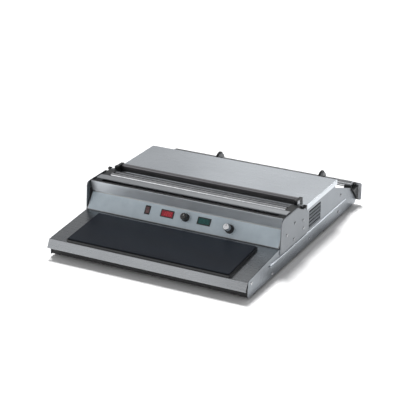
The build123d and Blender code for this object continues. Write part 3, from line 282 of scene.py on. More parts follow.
@dataclass(frozen=True)
class BrushedSteel(Finish):
    """Stainless sheet brushed with an abrasive belt: long fine streaks that stretch each highlight."""

    metallic: float = 1.0
    roughness: float = 0.34
    grain: Grain = Grain.ALONG_X
    pitch: float = 0.9 * MM
    stretch: float = 70.0
    spread: float = 0.06
    pull: float = 0.5
    painted_shade_within: float = 0.0
    black_beyond: float = 0.0
    painted_shade_top: bool = False

    def build(self) -> Material:
        """Make the brushed material.

        Returns:
            The material.
        """
        # Stainless sheet is rolled, then belt-ground one way: it is grey and soft-edged in reflection, and
        # each highlight is drawn out across the lines, so the eye reads which way it was brushed
        material, tree, shader, coordinates = self.start()
        scale = tuple(1.0 / self.stretch if along else 1.0 for along in self.grain.value)
        lined = add_node(tree, "ShaderNodeMapping", {}, {"Vector": coordinates, "Scale": scale})
        # The belt's real grit lines are 0.1 mm apart; they are drawn nine times coarser, so that they show
        streaks = self.noise(lined.outputs["Vector"], self.pitch, 3.0)
        # Broad soft clouds are the slight unevenness of a rolled sheet and the wipe marks on it
        clouds = self.noise(coordinates, 120 * MM)
        mixed = add_node(tree, "ShaderNodeMix", {"data_type": "FLOAT"}, {0: 0.45, 2: streaks, 3: clouds})
        self.tint(shader, mixed.outputs[0], 0.36, 0.64)
        self.roughen(shader, streaks, self.spread)
        self.emboss(shader, streaks, 0.012 * MM, 0.2)
        # The lines spread a highlight across themselves, so the tangent turns about the grain
        shader.inputs["Anisotropic"].default_value = self.pull
        settings = {"direction_type": "RADIAL", "axis": self.grain.name[-1]}
        tangent = add_node(tree, "ShaderNodeTangent", settings)
        tree.links.new(tangent.outputs["Tangent"], shader.inputs["Tangent"])
        # Painted shade: the side plates and cheeks are brushed on the face that shows and black on the one
        # that looks into the machine, and the fascia is black on its faces that look up, for the shade in
        # the bay and under the rest bar; the cutter caps beyond the cheeks are really black
        for limit, beyond in ((self.painted_shade_within, False), (self.black_beyond, True)):
            if limit > 0:
                self.blacken_coat_and_shade(shader, self.zone_across(coordinates, limit, beyond))
        if self.painted_shade_top:
            self.blacken_coat_and_shade(shader, self.zone_upward(tree))
        return material


@dataclass(frozen=True)
class GalvanisedSheet(Finish):
    """Hot-dip galvanised sheet: large dull crystals with slightly different greys."""

    metallic: float = 1.0
    roughness: float = 0.45
    crystal: float = 9 * MM

    def build(self) -> Material:
        """Make the crystalline zinc material.

        Returns:
            The material.
        """
        # Zinc freezes on the dipped sheet in flat crystals; each one shines a little differently, so the eye
        # sees a patchwork of dull greys with no grain
        material, tree, shader, coordinates = self.start()
        inputs = {"Vector": coordinates, "Scale": 1 / self.crystal}
        cells = add_node(tree, "ShaderNodeTexVoronoi", {}, inputs).outputs["Color"]
        value = add_node(tree, "ShaderNodeSeparateColor", {}, {"Color": cells}).outputs[0]
        self.tint(shader, value, 0.0, 1.0)
        self.roughen(shader, value, 0.08)
        self.emboss(shader, self.noise(coordinates, 1.5 * MM), 0.02 * MM, 0.2)
        return material


@dataclass(frozen=True)
class PolishedMetal(Finish):
    """Hard chrome or ground steel on a turned tube: near mirror, with faint rings from the wheel."""

    metallic: float = 1.0
    roughness: float = 0.14

    def build(self) -> Material:
        """Make the polished material.

        Returns:
            The material.
        """
        # Plated and ground on a lathe: a near mirror, with the wheel's faint rings, which gives the eye one
        # clean bright line along a round bar
        material, tree, shader, coordinates = self.start()
        inputs = {"Vector": coordinates, "Scale": (1.0, 0.05, 0.05)}
        turned = add_node(tree, "ShaderNodeMapping", {}, inputs).outputs["Vector"]
        # The wheel's real rings are under 0.1 mm apart; they are drawn as slow bands and don't flicker
        rings = self.noise(turned, 9 * MM)
        self.tint(shader, rings, 0.35, 0.65)
        self.roughen(shader, self.noise(coordinates, 14 * MM, 3.0), 0.03)
        self.emboss(shader, self.noise(coordinates, 3 * MM, 1.0), 0.002 * MM, 0.1)
        return material


@dataclass(frozen=True)
class NonStickCoat(Finish):
    """Sprayed and baked non-stick coat: dark and even, with a fine pebbled skin and paler wiped patches."""

    roughness: float = 0.42
    pebble: float = 0.9 * MM
    shine: float = 0.12

    def build(self) -> Material:
        """Make the coated material.

        Returns:
            The material.
        """
        # Fluoropolymer sprayed in two coats on sheet and baked: dark, even and waxy, with a fine orange-peel
        # skin that keeps reflections faint and blurred
        material, tree, shader, coordinates = self.start()
        shader.inputs["Specular IOR Level"].default_value = self.shine
        inputs = {"Vector": coordinates, "Scale": (0.35, 1.0, 1.0)}
        wiped = add_node(tree, "ShaderNodeMapping", {}, inputs).outputs["Vector"]
        patches = self.noise(wiped, 55 * MM, 4.0)
        self.tint(shader, patches, 0.3, 0.7)
        self.roughen(shader, patches, 0.06)
        self.emboss(shader, self.noise(coordinates, self.pebble, 3.0), 0.05 * MM, 0.35)
        return material


@dataclass(frozen=True)
class MouldedPlastic(Finish):
    """Injection-moulded plastic or powder coat: a fine spark-eroded grain that breaks up the gloss."""

    roughness: float = 0.42
    texture: float = 0.7 * MM
    depth: float = 0.04 * MM
    coat: float = 0.0

    def build(self) -> Material:
        """Make the grained material.

        Returns:
            The material.
        """
        # Moulded in a spark-eroded tool, or powder sprayed and baked: a fine even grain that gives a soft
        # satin sheen, polished a little where hands touch it
        material, _, shader, coordinates = self.start()
        shader.inputs["Coat Weight"].default_value = self.coat
        shader.inputs["Coat Roughness"].default_value = 0.12
        handled = self.noise(coordinates, 22 * MM, 3.0)
        self.tint(shader, handled, 0.3, 0.7)
        self.roughen(shader, handled, 0.06)
        self.emboss(shader, self.noise(coordinates, self.texture), self.depth, 0.3)
        return material


@dataclass(frozen=True)
class MouldedRubber(Finish):
    """Vulcanised rubber: matt black with a dusty bloom and a soft skin."""

    roughness: float = 0.8

    def build(self) -> Material:
        """Make the rubber material.

        Returns:
            The material.
        """
        # Pressed and cured in a mould: it swallows light, and a thin dusty bloom greys its edges
        material, _, shader, coordinates = self.start()
        shader.inputs["Sheen Weight"].default_value = 0.15
        shader.inputs["Sheen Roughness"].default_value = 0.5
        bloom = self.noise(coordinates, 6 * MM, 4.0)
        self.tint(shader, bloom, 0.35, 0.75)
        self.roughen(shader, bloom, 0.08)
        self.emboss(shader, self.noise(coordinates, 0.6 * MM), 0.05 * MM, 0.4)
        return material


@dataclass(frozen=True)
class TintedWindow(Finish):
    """Cast acrylic window over dark digits: glossy and deep in tone, with the display's faint grid in it."""

    roughness: float = 0.16
    lamp_and_painted_glow: float = 0.0
    cell: float = 1.1 * MM

    def build(self) -> Material:
        """Make the tinted material.

        Returns:
            The material.
        """
        # Cast acrylic dyed in the mass: a hard gloss in front and a deep tone behind, in which the cells of
        # the display show as a faint grid
        material, tree, shader, coordinates = self.start()
        shader.inputs["Specular IOR Level"].default_value = 0.2
        shader.inputs["Coat Weight"].default_value = 0.1
        shader.inputs["Coat Roughness"].default_value = 0.05
        inputs = {"Vector": coordinates, "Scale": 1 / self.cell, "Randomness": 0.0}
        grid = add_node(tree, "ShaderNodeTexVoronoi", {"distance": "CHEBYCHEV"}, inputs).outputs["Distance"]
        depth = self.noise(coordinates, 8 * MM)
        mixed = add_node(tree, "ShaderNodeMix", {"data_type": "FLOAT"}, {0: 0.35, 2: depth, 3: grid})
        self.tint(shader, mixed.outputs[0], 0.25, 0.7)
        self.roughen(shader, depth, 0.04)
        # The lit red digits and window glow as a real lamp; the faint glow on the unlit green digits and
        # window is painted light
        if self.lamp_and_painted_glow > 0:
            shader.inputs["Emission Color"].default_value = linear(self.light)
            shader.inputs["Emission Strength"].default_value = self.lamp_and_painted_glow
        return material


@dataclass(frozen=True)
class TurnedMetal(Finish):
    """Aluminium or zinc faced on a lathe: fine rings about its own axis that catch the light in a fan."""

    metallic: float = 1.0
    roughness: float = 0.28
    centre: tuple[float, float, float] = (0.0, 0.0, 0.0)
    tilt: float = 0.0
    ring: float = 3.77 * MM

    def build(self) -> Material:
        """Make the turned material.

        Returns:
            The material.
        """
        # Faced with a lathe tool and lacquered: each fine ring catches the light in turn, so a fan of bright
        # and dark sectors turns with the eye
        material, tree, shader, coordinates = self.start()
        # The rings turn about the piece's own axis, which the mapping brings upright. Real ones are about
        # 0.1 mm apart and would blur to one tone; they are drawn far coarser, so that they show
        inputs = {0: coordinates, 1: self.centre}
        shifted = add_node(tree, "ShaderNodeVectorMath", {"operation": "SUBTRACT"}, inputs).outputs[0]
        inputs = {"Vector": shifted, "Rotation": (-self.tilt, 0.0, 0.0)}
        upright = add_node(tree, "ShaderNodeMapping", {}, inputs).outputs["Vector"]
        settings = {"wave_type": "RINGS", "rings_direction": "Z"}
        inputs = {"Vector": upright, "Scale": WAVE_LENGTH / self.ring, "Distortion": 0.6}
        rings = add_node(tree, "ShaderNodeTexWave", settings, inputs).outputs["Fac"]
        self.tint(shader, rings, 0.0, 1.0)
        self.roughen(shader, rings, 0.05)
        self.emboss(shader, rings, 0.02 * MM, 0.2)
        return material


@dataclass(frozen=True)
class WovenLaminate(Finish):
    """Glass-cloth laminate or pressed fibre: a small regular weave under the varnish."""

    thread: float = 1.2 * MM

    def build(self) -> Material:
        """Make the woven material.

        Returns:
            The material.
        """
        # Glass or mineral fibre pressed with resin: flat and dry, with the cloth's small squares under it
        material, tree, shader, coordinates = self.start()
        # The real threads are about half as wide; they are drawn coarser, so that they show
        inputs = {"Vector": coordinates, "Scale": 1 / self.thread}
        weave = add_node(tree, "ShaderNodeTexChecker", {}, inputs).outputs["Fac"]
        stains = self.noise(coordinates, 10 * MM, 3.0)
        mixed = add_node(tree, "ShaderNodeMix", {"data_type": "FLOAT"}, {0: 0.7, 2: weave, 3: stains})
        self.tint(shader, mixed.outputs[0], 0.3, 0.75)
        self.roughen(shader, stains, 0.08)
        self.emboss(shader, weave, 0.05 * MM, 0.3)
        return material


@dataclass(frozen=True)
class StackedCore(Finish):
    """Transformer sheets stacked face to face: thin dark lines between them under brown varnish."""

    metallic: float = 0.6
    roughness: float = 0.45
    stripe: float = 6.28 * MM

    def build(self) -> Material:
        """Make the stacked material.

        Returns:
            The material.
        """
        # Punched silicon-steel sheets, stacked and dipped in varnish: dark, slightly glossy, striped by the
        # edges of the sheets. A real sheet is 0.5 mm thick; a stripe stands for a dozen of them
        material, tree, shader, coordinates = self.start()
        settings = {"wave_type": "BANDS", "bands_direction": "Y"}
        inputs = {"Vector": coordinates, "Scale": WAVE_LENGTH / self.stripe, "Distortion": 0.1}
        bands = add_node(tree, "ShaderNodeTexWave", settings, inputs).outputs["Fac"]
        self.tint(shader, bands, 0.1, 0.6)
        self.roughen(shader, self.noise(coordinates, 9 * MM, 3.0), 0.08)
        self.emboss(shader, bands, 0.05 * MM, 0.4)
        return material


def assign(node: Piece, material: Material) -> None:
    """Give a piece one material on every slot that it has.

    Args:
        node: the piece.
        material: its new material.
    """
    if not node.material_slots:
        node.data.materials.append(material)
    for place in node.material_slots:
        place.material = material


def deselect() -> None:
    """Leave nothing selected, so that an operator takes only what it is meant for."""
    bpy.ops.object.select_all(action="DESELECT")


def pick(piece: Piece) -> None:
    """Select one piece alone and make it the active one.

    Args:
        piece: the piece.
    """
    deselect()
    piece.select_set(True)
    bpy.context.view_layer.objects.active = piece


def select_where(piece: Piece, wanted: Iterable[int]) -> None:
    """Select faces of the active mesh by their numbers, in edit mode.

    Args:
        piece: the piece in edit mode.
        wanted: the faces' numbers.
    """
    bpy.ops.mesh.select_mode(type="FACE")
    bpy.ops.mesh.select_all(action="DESELECT")
    bpy.ops.object.mode_set(mode="OBJECT")
    for number in wanted:
        piece.data.polygons[number].select = True
    bpy.ops.object.mode_set(mode="EDIT")


def faces_facing(piece: Piece, way: Vector, limit: float = 0.9) -> list[int]:
    """Find a piece's faces that look one way.

    Args:
        piece: the piece.
        way: the direction.
        limit: the smallest cosine that still counts.

    Returns:
        The faces' numbers.
    """
    return [face.index for face in piece.data.polygons if face.normal.dot(way) > limit]


def copy_at(pattern: Piece, name: str, place: Matrix) -> Piece:
    """Copy a modelled piece, with a mesh of its own, and move the copy's mesh to its place.

    Args:
        pattern: the piece to copy.
        name: the copy's name.
        place: where the copy goes.

    Returns:
        The copy.
    """
    mesh = pattern.data.copy()
    mesh.transform(place)
    copy = bpy.data.objects.new(name, mesh)
    bpy.context.scene.collection.objects.link(copy)
    return copy


def join(pieces: Sequence[Piece], name: str) -> Piece:
    """Join several pieces into one.

    Args:
        pieces: the pieces, of which the first one stays.
        name: the joined piece's name.

    Returns:
        The joined piece.
    """
    deselect()
    for piece in pieces:
        piece.select_set(True)
    bpy.context.view_layer.objects.active = pieces[0]
    if len(pieces) > 1:
        bpy.ops.object.join()
    pieces[0].name = name
    pieces[0].data.name = name
    return pieces[0]


def discard(piece: Piece) -> None:
    """Remove a pattern once its copies are made.

    Args:
        piece: the pattern.
    """
    bpy.data.objects.remove(piece, do_unlink=True)


def place_mesh(piece: Piece, place: Matrix) -> None:
    """Put a piece's place into its mesh, and leave its object at the origin.

    Args:
        piece: the piece.
        place: where the mesh goes.
    """
    piece.data.transform(place @ piece.matrix_world)
    piece.matrix_world = Matrix.Identity(4)


def bar_mark(name: str, length: float, width: float, height: float) -> Piece:
    """Model a small bar with blunt pointed ends, lying along X about the origin.

    Args:
        name: the bar's name.
        length: its full length.
        width: its width.
        height: how far it stands up.

    Returns:
        The bar.
    """
    deselect()
    bpy.ops.mesh.primitive_circle_add(vertices=4, radius=width / 2, fill_type="NGON")
    bar = bpy.context.active_object
    bar.name = name
    bpy.ops.object.mode_set(mode="EDIT")
    bpy.ops.mesh.select_mode(type="VERT")
    bpy.ops.mesh.bevel(offset=width * BAR_BLUNTING, offset_type="OFFSET", affect="VERTICES")
    bpy.ops.mesh.select_all(action="DESELECT")
    bpy.ops.object.mode_set(mode="OBJECT")
    reach = (length - width) / 2
    for vertex in bar.data.vertices:
        if abs(vertex.co.x) > EPSILON:
            vertex.co.x += math.copysign(reach, vertex.co.x)
    bpy.ops.object.mode_set(mode="EDIT")
    bpy.ops.mesh.select_all(action="SELECT")
    bpy.ops.mesh.extrude_region_move(TRANSFORM_OT_translate={"value": (0, 0, height)})
    bpy.ops.mesh.select_all(action="SELECT")
    bpy.ops.mesh.normals_make_consistent(inside=False)
    bpy.ops.object.mode_set(mode="OBJECT")
    return bar


@dataclass
class Stations:
    """The machine's main lines, in millimetres in the CAD frame."""

    crease_y: float = -299.313
    crease_z: float = 44.3
    tray_run: float = 158.0
    tray_rise: float = 12.2
    panel_run: float = 26.8
    panel_rise: float = 38.3
    side_outer: float = 244.0
    cheek_outer: float = 246.0
    cheek_setback: float = 1.5
    side_setback: float = 3.0
    deck_run: float = 131.0
    table_run: float = 189.0

    @property
    def side_front_y(self) -> float:
        """Return the side plates' front edge."""
        return self.crease_y + self.side_setback

    @property
    def panel_y(self) -> float:
        """Return the control panel's foot."""
        return self.crease_y + self.tray_run

    @property
    def panel_z(self) -> float:
        """Return the level of the control panel's foot."""
        return self.crease_z + self.tray_rise

    @property
    def table_y(self) -> float:
        """Return the table's front edge."""
        return self.panel_y + self.deck_run

    @property
    def bay_y(self) -> float:
        """Return the table's rear edge, where the open bay starts."""
        return self.table_y + self.table_run

    @property
    def panel_angle(self) -> float:
        """Return the control panel's angle above the horizon."""
        return math.atan2(self.panel_rise, self.panel_run)

    def on_panel(self, x: float, level: float, height: float) -> Matrix:
        """Return a place on the control panel, in metres.

        Args:
            x: the place across the machine.
            level: the way up the slope.
            height: the height above the panel's sheet.

        Returns:
            A matrix whose X runs across, Y up the slope and Z out of the panel.
        """
        angle = self.panel_angle
        up = Vector((0, math.cos(angle), math.sin(angle)))
        out = Vector((0, -math.sin(angle), math.cos(angle)))
        spot = Vector((x, self.panel_y, self.panel_z)) + up * level + out * height
        return Matrix.Translation(spot * MM) @ Matrix.Rotation(angle, 4, "X")


@dataclass
class SubAssembly:
    """A group of CAD nodes and new pieces that are dressed together."""

    nodes: Mapping[str, Piece]
    at: Stations = field(default_factory=Stations)

    def dress(self, finish: Finish, *names: str) -> None:
        """Give CAD nodes a finish.

        Args:
            finish: the finish.
            names: the nodes' names.
        """
        material = finish.build()
        for name in names:
            assign(self.nodes[name], material)
            log.info("dressed %s in %s", name, finish.name)

    def keep(self, piece: Piece, body: str, slot: str, finish: Finish) -> None:
        """Dress a new piece and make it ride on its body.

        Args:
            piece: the new piece.
            body: the CAD body that carries it.
            slot: the record's material slot; not used.
            finish: the finish.
        """
        assign(piece, finish.build())
        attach(piece, body)
        log.info("made %s on %s, %d faces", piece.name, body, len(piece.data.polygons))


@dataclass
class Housing(SubAssembly):
    """The side plates, cheeks, table, base and what screws them together."""

    skin: float = 1.2
    screw_sides: int = 28
    screw_radius: float = 3.6
    screw_height: float = 1.6
    screw_dome: float = 1.25
    screw_shank: float = 2.0
    screw_length: float = 7.0
    screw_turn: float = 0.5
    screw_step: float = 0.9
    recess_width: float = 0.8
    recess_reach: float = 2.1
    recess_depth: float = 0.9
    smooth_below: float = math.radians(35)

    def dress_sheets(self) -> None:
        """Dress the bent sheets, each along its own grain."""
        inside = (self.at.side_outer - self.skin) * MM
        # Painted shade: the inner faces of the sides and cheeks are black, so that the bay stays dark
        upright = {"grain": Grain.ALONG_Z, "painted_shade_within": inside}
        # Painted shade: the side plates and cheeks are the table's stainless in far darker tones, for the
        # shade the upright sides lie in and the shaded floor they mirror
        side = BrushedSteel("side_plate_steel", "93989D", "81868C", 0.32, **upright)
        cheek = BrushedSteel("cheek_plate_steel", "888C90", "797D82", 0.34, **upright)
        table = BrushedSteel("table_steel", "D6DBE0", "CCD1D6", 0.3, spread=0.04)
        # Painted shade: the fascia's faces that look up, along its hem, are black for the dark gap under the
        # rest bar
        fascia = BrushedSteel("fascia_steel", "D6DADE", "C8CDD2", 0.5, pull=0.2, painted_shade_top=True)
        zinc = GalvanisedSheet("zinc_sheet", "B9BBBD", "8E9194")
        self.dress(side, "side_plate_left", "side_plate_right")
        self.dress(cheek, "cheek_plate_left", "cheek_plate_right")
        self.dress(table, "top_table")
        self.dress(fascia, "fascia")
        self.dress(zinc, "rear_panel")
        # Painted shade: the base pan and the inner deck are coated near black, for the shade under the front
        # lip and between the deck's bars
        self.dress(MouldedPlastic("pan_powder_coat", "1D1D1F", "121214", 0.5), "base_pan", "inner_deck")
        self.dress(MouldedRubber("foot_rubber", "1B1B1C", "0C0C0D"), "feet")
        self.dress(PolishedMetal("foot_screw_zinc", "C8C9C9", "A2A4A5", 0.3), "foot_screws")

    def screw_places(self) -> list[tuple[float, float, float]]:
        """List the screws of the right side.

        Returns:
            The X of the face that each screw sits on, and the screw's Y and Z.
        """
        at = self.at
        cheek_y = at.panel_y + at.cheek_setback
        return [
            (at.side_outer, at.side_front_y + 15.5, 35.4),
            (at.side_outer, at.panel_y - 35.5, 13.8),
            (at.side_outer, at.table_y + 34.0, 18.4),
            (at.side_outer, at.bay_y + 16.0, 20.5),
            (at.side_outer, at.bay_y + 28.5, 59.2),
            (at.cheek_outer, cheek_y + 33.0, 77.9),
            (at.cheek_outer, cheek_y + 72.0, 53.7),
            (at.cheek_outer, cheek_y + 76.0, 90.7),
            (at.cheek_outer, cheek_y + 121.0, 80.8),
            (at.cheek_outer, cheek_y + 124.0, 60.4),
        ]

    def build_screw(self) -> Piece:
        """Model one pan-head screw with a cross recess, along Z with its head upwards.

        Returns:
            The screw.
        """
        deselect()
        radius, height = self.screw_radius * MM, self.screw_height * MM
        middle = (0, 0, height / 2)
        bpy.ops.mesh.primitive_cylinder_add(
            vertices=self.screw_sides, radius=radius, depth=height, location=middle
        )
        screw = bpy.context.active_object
        bpy.ops.object.transform_apply(location=True)
        under = faces_facing(screw, Vector((0, 0, -1)))
        bpy.ops.object.mode_set(mode="EDIT")
        select_where(screw, under)
        bpy.ops.mesh.inset(thickness=(self.screw_radius - self.screw_shank) * MM, depth=0)
        shank = (0, 0, -self.screw_length * MM)
        bpy.ops.mesh.extrude_region_move(TRANSFORM_OT_translate={"value": shank})
        bpy.ops.object.mode_set(mode="OBJECT")
        top = faces_facing(screw, Vector((0, 0, 1)))
        bpy.ops.object.mode_set(mode="EDIT")
        select_where(screw, top)
        bpy.ops.mesh.bevel(offset=self.screw_dome * MM, segments=4, affect="EDGES", clamp_overlap=True)
        bpy.ops.object.mode_set(mode="OBJECT")
        recess = (2 * self.recess_reach * MM, self.recess_width * MM, 2 * self.recess_depth * MM)
        for turn in (0.0, math.pi / 2):
            bpy.ops.mesh.primitive_cube_add(size=1, location=(0, 0, height), rotation=(0, 0, turn))
            cutter = bpy.context.active_object
            cutter.scale = recess
            pick(screw)
            hole = screw.modifiers.new("recess", "BOOLEAN")
            hole.operation = "DIFFERENCE"
            hole.object = cutter
            hole.solver = "EXACT"
            bpy.ops.object.modifier_apply(modifier=hole.name)
            discard(cutter)
        return screw

    def build_screws(self) -> None:
        """Copy the screw to every place on both sides and let it stand for the CAD screws."""
        pattern = self.build_screw()
        copies = []
        for number, (face, y, z) in enumerate(self.screw_places()):
            for side in (-1, 1):
                # No two screws stop at the same turn
                spin = Matrix.Rotation(self.screw_turn + self.screw_step * number + side, 4, "Z")
                turn = Matrix.Rotation(side * math.pi / 2, 4, "Y")
                place = Matrix.Translation(Vector((side * face, y, z)) * MM) @ turn @ spin
                copies.append(copy_at(pattern, f"screw_{number}_{side}", place))
        discard(pattern)
        screws = join(copies, "pan_head_screws")
        bpy.ops.object.shade_smooth_by_angle(angle=self.smooth_below)
        self.keep(screws, HOUSING, "screw_steel", PolishedMetal("screw_zinc", "D2D3D4", "9FA2A5", 0.24))
        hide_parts("side_screws")


@dataclass
class HotPlate(SubAssembly):
    """The sloping tray and the heated plate on it."""

    def dress_plate(self) -> None:
        """Dress the tray, the plate, its skirt and what lies between them."""
        self.dress(BrushedSteel("tray_steel", "A9ABAE", "9B9EA1", 0.3, stretch=90.0), "front_tray")
        self.dress(NonStickCoat("plate_coat", "1E2228", "16191F"), "hot_plate")
        self.dress(MouldedPlastic("skirt_coat", "141518", "0B0C0E", 0.36), "hot_plate_skirt")
        self.dress(WovenLaminate("pad_fibre", "D8D2C4", "B5AD9C", 0.9), "insulation_pad")
        self.dress(StackedCore("heater_foil", "8A7058", "5C4A3C"), "heater_mat")
        self.dress(PolishedMetal("plate_screw_zinc", "C8C9C9", "A2A4A5", 0.3), "hot_plate_screws")


@dataclass(frozen=True)
class Dial:
    """A dial: its place across and up the panel, its face's height, its scale's and pointer's radius."""

    name: str
    x: float
    level: float
    top: float
    scale: float
    pointer: float


@dataclass
class ControlPanel(SubAssembly):
    """The leaning panel with its switch, displays and dials."""

    black: Dial = Dial("black", 7.0, 27.0, 16.6, 11.2, 5.2)
    silver: Dial = Dial("silver", 118.0, 22.0, 25.1, 12.4, 6.0)
    level: float = 27.0
    red_x: float = -40.0
    green_x: float = 53.0
    face: float = 0.6
    bezel: float = 1.2
    window_drop: float = 0.3
    digit_height: float = 8.6
    digit_width: float = 4.8
    digit_inset: float = 1.0
    digit_pitch: float = 7.4
    digit_lean: float = 0.12
    stroke: float = 0.9
    stroke_height: float = 0.08
    mark_count: int = 11
    mark_sweep: float = 280.0
    mark_length: float = 2.4
    mark_width: float = 0.6
    mark_height: float = 0.06
    pointer_start: float = 0.8
    pointer_height: float = 0.12

    def dress_panel(self) -> None:
        """Dress the panel's CAD nodes."""
        steel = BrushedSteel("panel_steel", "B9BBBD", "9C9FA2", 0.36)
        film = MouldedPlastic("panel_film", "CBD8E0", "BECCD5", 0.34, texture=0.5 * MM, depth=0.015 * MM)
        black = MouldedPlastic("bezel_plastic", "17181A", "0D0E0F", 0.4)
        middle = tuple(self.at.on_panel(self.silver.x, self.silver.level, 0).translation)
        tilt = self.at.panel_angle
        cap = TurnedMetal("silver_cap", "E2E3E5", "B9BBBE", 0.26, centre=middle, tilt=tilt)
        self.dress(steel, "control_panel")
        self.dress(film, "panel_overlay")
        self.dress(black, "switch_frame", "red_bezel", "green_bezel", "silver_knob_skirt")
        self.dress(MouldedPlastic("knob_plastic", "141517", "090A0B", 0.24, coat=0.2), "black_knob")
        self.dress(cap, "silver_knob")
        rocker = MouldedPlastic("rocker_plastic", "6E2A2E", "47181C", 0.25, coat=0.5)
        self.dress(rocker, "switch_rocker")
        self.dress(TintedWindow("red_window_tint", "A82436", "741222", lamp_and_painted_glow=0.16), "red_window")
        # Painted light: the green window glows faintly, though its display is unlit
        self.dress(TintedWindow("green_window_tint", "1B5B57", "0E3836", lamp_and_painted_glow=0.04), "green_window")
        turned = PolishedMetal("spindle_steel", "C6C7C8", "9B9DA0", 0.3)
        self.dress(turned, "black_spindle", "silver_spindle")
        tin = GalvanisedSheet("pot_tin", "B5B6B6", "8F9192")
        self.dress(tin, "black_potentiometer", "silver_potentiometer")

    def build_digits(self, name: str, x: float, number: str, finish: Finish) -> None:
        """Model a row of seven-segment digits on a display's window.

        Args:
            name: the piece's name.
            x: the display's place across the panel.
            number: the digits shown.
            finish: their finish.
        """
        reach_x = (self.digit_width - self.digit_inset) / 2
        reach_y = (self.digit_height - self.digit_inset) / 2
        section = (self.stroke * MM, self.stroke_height * MM)
        flat = bar_mark("segment", 2 * reach_x * MM, *section)
        upright = bar_mark("segment", reach_y * MM, *section)
        height = self.face + self.bezel - self.window_drop
        place = self.at.on_panel(x, self.level, height)
        lean = Matrix.Identity(4)
        lean[0][1] = self.digit_lean
        copies = []
        first = -(len(number) - 1) / 2
        for column, digit in enumerate(number):
            for key in DIGITS[digit]:
                across, rise, level = STROKES[key]
                spot = Vector((across * reach_x, rise * reach_y, 0)) * MM
                turn = Matrix.Identity(4) if level else Matrix.Rotation(math.pi / 2, 4, "Z")
                shift = Matrix.Translation(((first + column) * self.digit_pitch * MM, 0, 0))
                local = shift @ lean @ Matrix.Translation(spot) @ turn
                copies.append(copy_at(flat if level else upright, key, place @ local))
        discard(flat)
        discard(upright)
        slot = "red_lens" if name.startswith("red") else "green_lens"
        self.keep(join(copies, name), HOUSING, slot, finish)

    def build_marks(self, dial: Dial, finish: Finish) -> None:
        """Model the printed scale round a dial as thin raised bars.

        Args:
            dial: the dial.
            finish: the print's finish.
        """
        bar = bar_mark("mark", self.mark_length * MM, self.mark_width * MM, self.mark_height * MM)
        place = self.at.on_panel(dial.x, dial.level, self.face)
        reach = Matrix.Translation(((dial.scale + self.mark_length / 2) * MM, 0, 0))
        copies = []
        for number in range(self.mark_count):
            share = 0.5 - number / (self.mark_count - 1)
            spin = Matrix.Rotation(math.radians(90 + self.mark_sweep * share), 4, "Z")
            copies.append(copy_at(bar, f"mark_{number}", place @ spin @ reach))
        discard(bar)
        self.keep(join(copies, f"{dial.name}_dial_marks"), HOUSING, "panel_film", finish)

    def build_pointer(self, dial: Dial, finish: Finish) -> None:
        """Model the pointer line on a knob's face.

        Args:
            dial: the dial.
            finish: the line's finish.
        """
        length = (dial.pointer - self.pointer_start) * MM
        bar = bar_mark(f"{dial.name}_knob_pointer", length, self.stroke * MM, self.pointer_height * MM)
        spin = Matrix.Rotation(math.pi / 2, 4, "Z")
        shift = Matrix.Translation(((dial.pointer + self.pointer_start) / 2 * MM, 0, 0))
        place_mesh(bar, self.at.on_panel(dial.x, dial.level, dial.top) @ spin @ shift)
        self.keep(bar, f"{dial.name}_dial", "rocker_plastic", finish)

    def build_details(self) -> None:
        """Model what the panel carries beyond its CAD nodes."""
        lit = TintedWindow("lit_segment", "D8484E", "BE343C", 0.3, lamp_and_painted_glow=0.28)
        # Painted light: the unlit green segments glow faintly
        unlit = TintedWindow("unlit_segment", "256B65", "195550", 0.3, lamp_and_painted_glow=0.05)
        ink = MouldedPlastic("panel_ink", "4C565D", "3C454B", 0.5)
        white = MouldedPlastic("pointer_ink", "E9E9E6", "D2D2CE", 0.45)
        black = MouldedPlastic("pointer_black", "1A1A1B", "0E0E0F", 0.45)
        self.build_digits("red_digits", self.red_x, "120", lit)
        self.build_digits("green_digits", self.green_x, "250", unlit)
        for dial in (self.black, self.silver):
            self.build_marks(dial, ink)
        self.build_pointer(self.black, white)
        self.build_pointer(self.silver, black)


@dataclass
class FilmDeck(SubAssembly):
    """The rest bar, guide roller and rod between the cheeks, and the heated cutter bar."""

    cap_gap: float = 0.3

    def dress_deck(self) -> None:
        """Dress the deck and the cutter."""
        self.dress(BrushedSteel("rest_bar_steel", "C2C5C8", "B4B7BA", 0.34), "film_rest_bar")
        self.dress(PolishedMetal("guide_chrome", "E6E7E9", "D6D7DA", 0.16), "guide_roller")
        self.dress(PolishedMetal("rod_steel", "A4A5A7", "94969A", 0.3), "film_rod", "guide_axle")
        self.dress(MouldedPlastic("bush_nylon", "E4E2DA", "CFCDC3", 0.5), "guide_bushes")
        block = MouldedPlastic("block_plastic", "16171A", "0A0B0D", 0.45)
        self.dress(block, "end_block_left", "end_block_right", "cutter_posts")
        # The stud plates are bare steel; the caps beyond the cheeks, in the same node, are black
        caps = {"grain": Grain.ALONG_Z, "black_beyond": (self.at.cheek_outer + self.cap_gap) * MM}
        self.dress(BrushedSteel("stud_plate_steel", "B4B6BA", "A2A5A9", 0.34, **caps), "cutter_caps")
        self.dress(BrushedSteel("cutter_metal", "9A999B", "87868A", 0.36, spread=0.05), "cutter_bar")
        self.dress(StackedCore("element_sheath", "7A6450", "4F4238"), "cutter_heater")


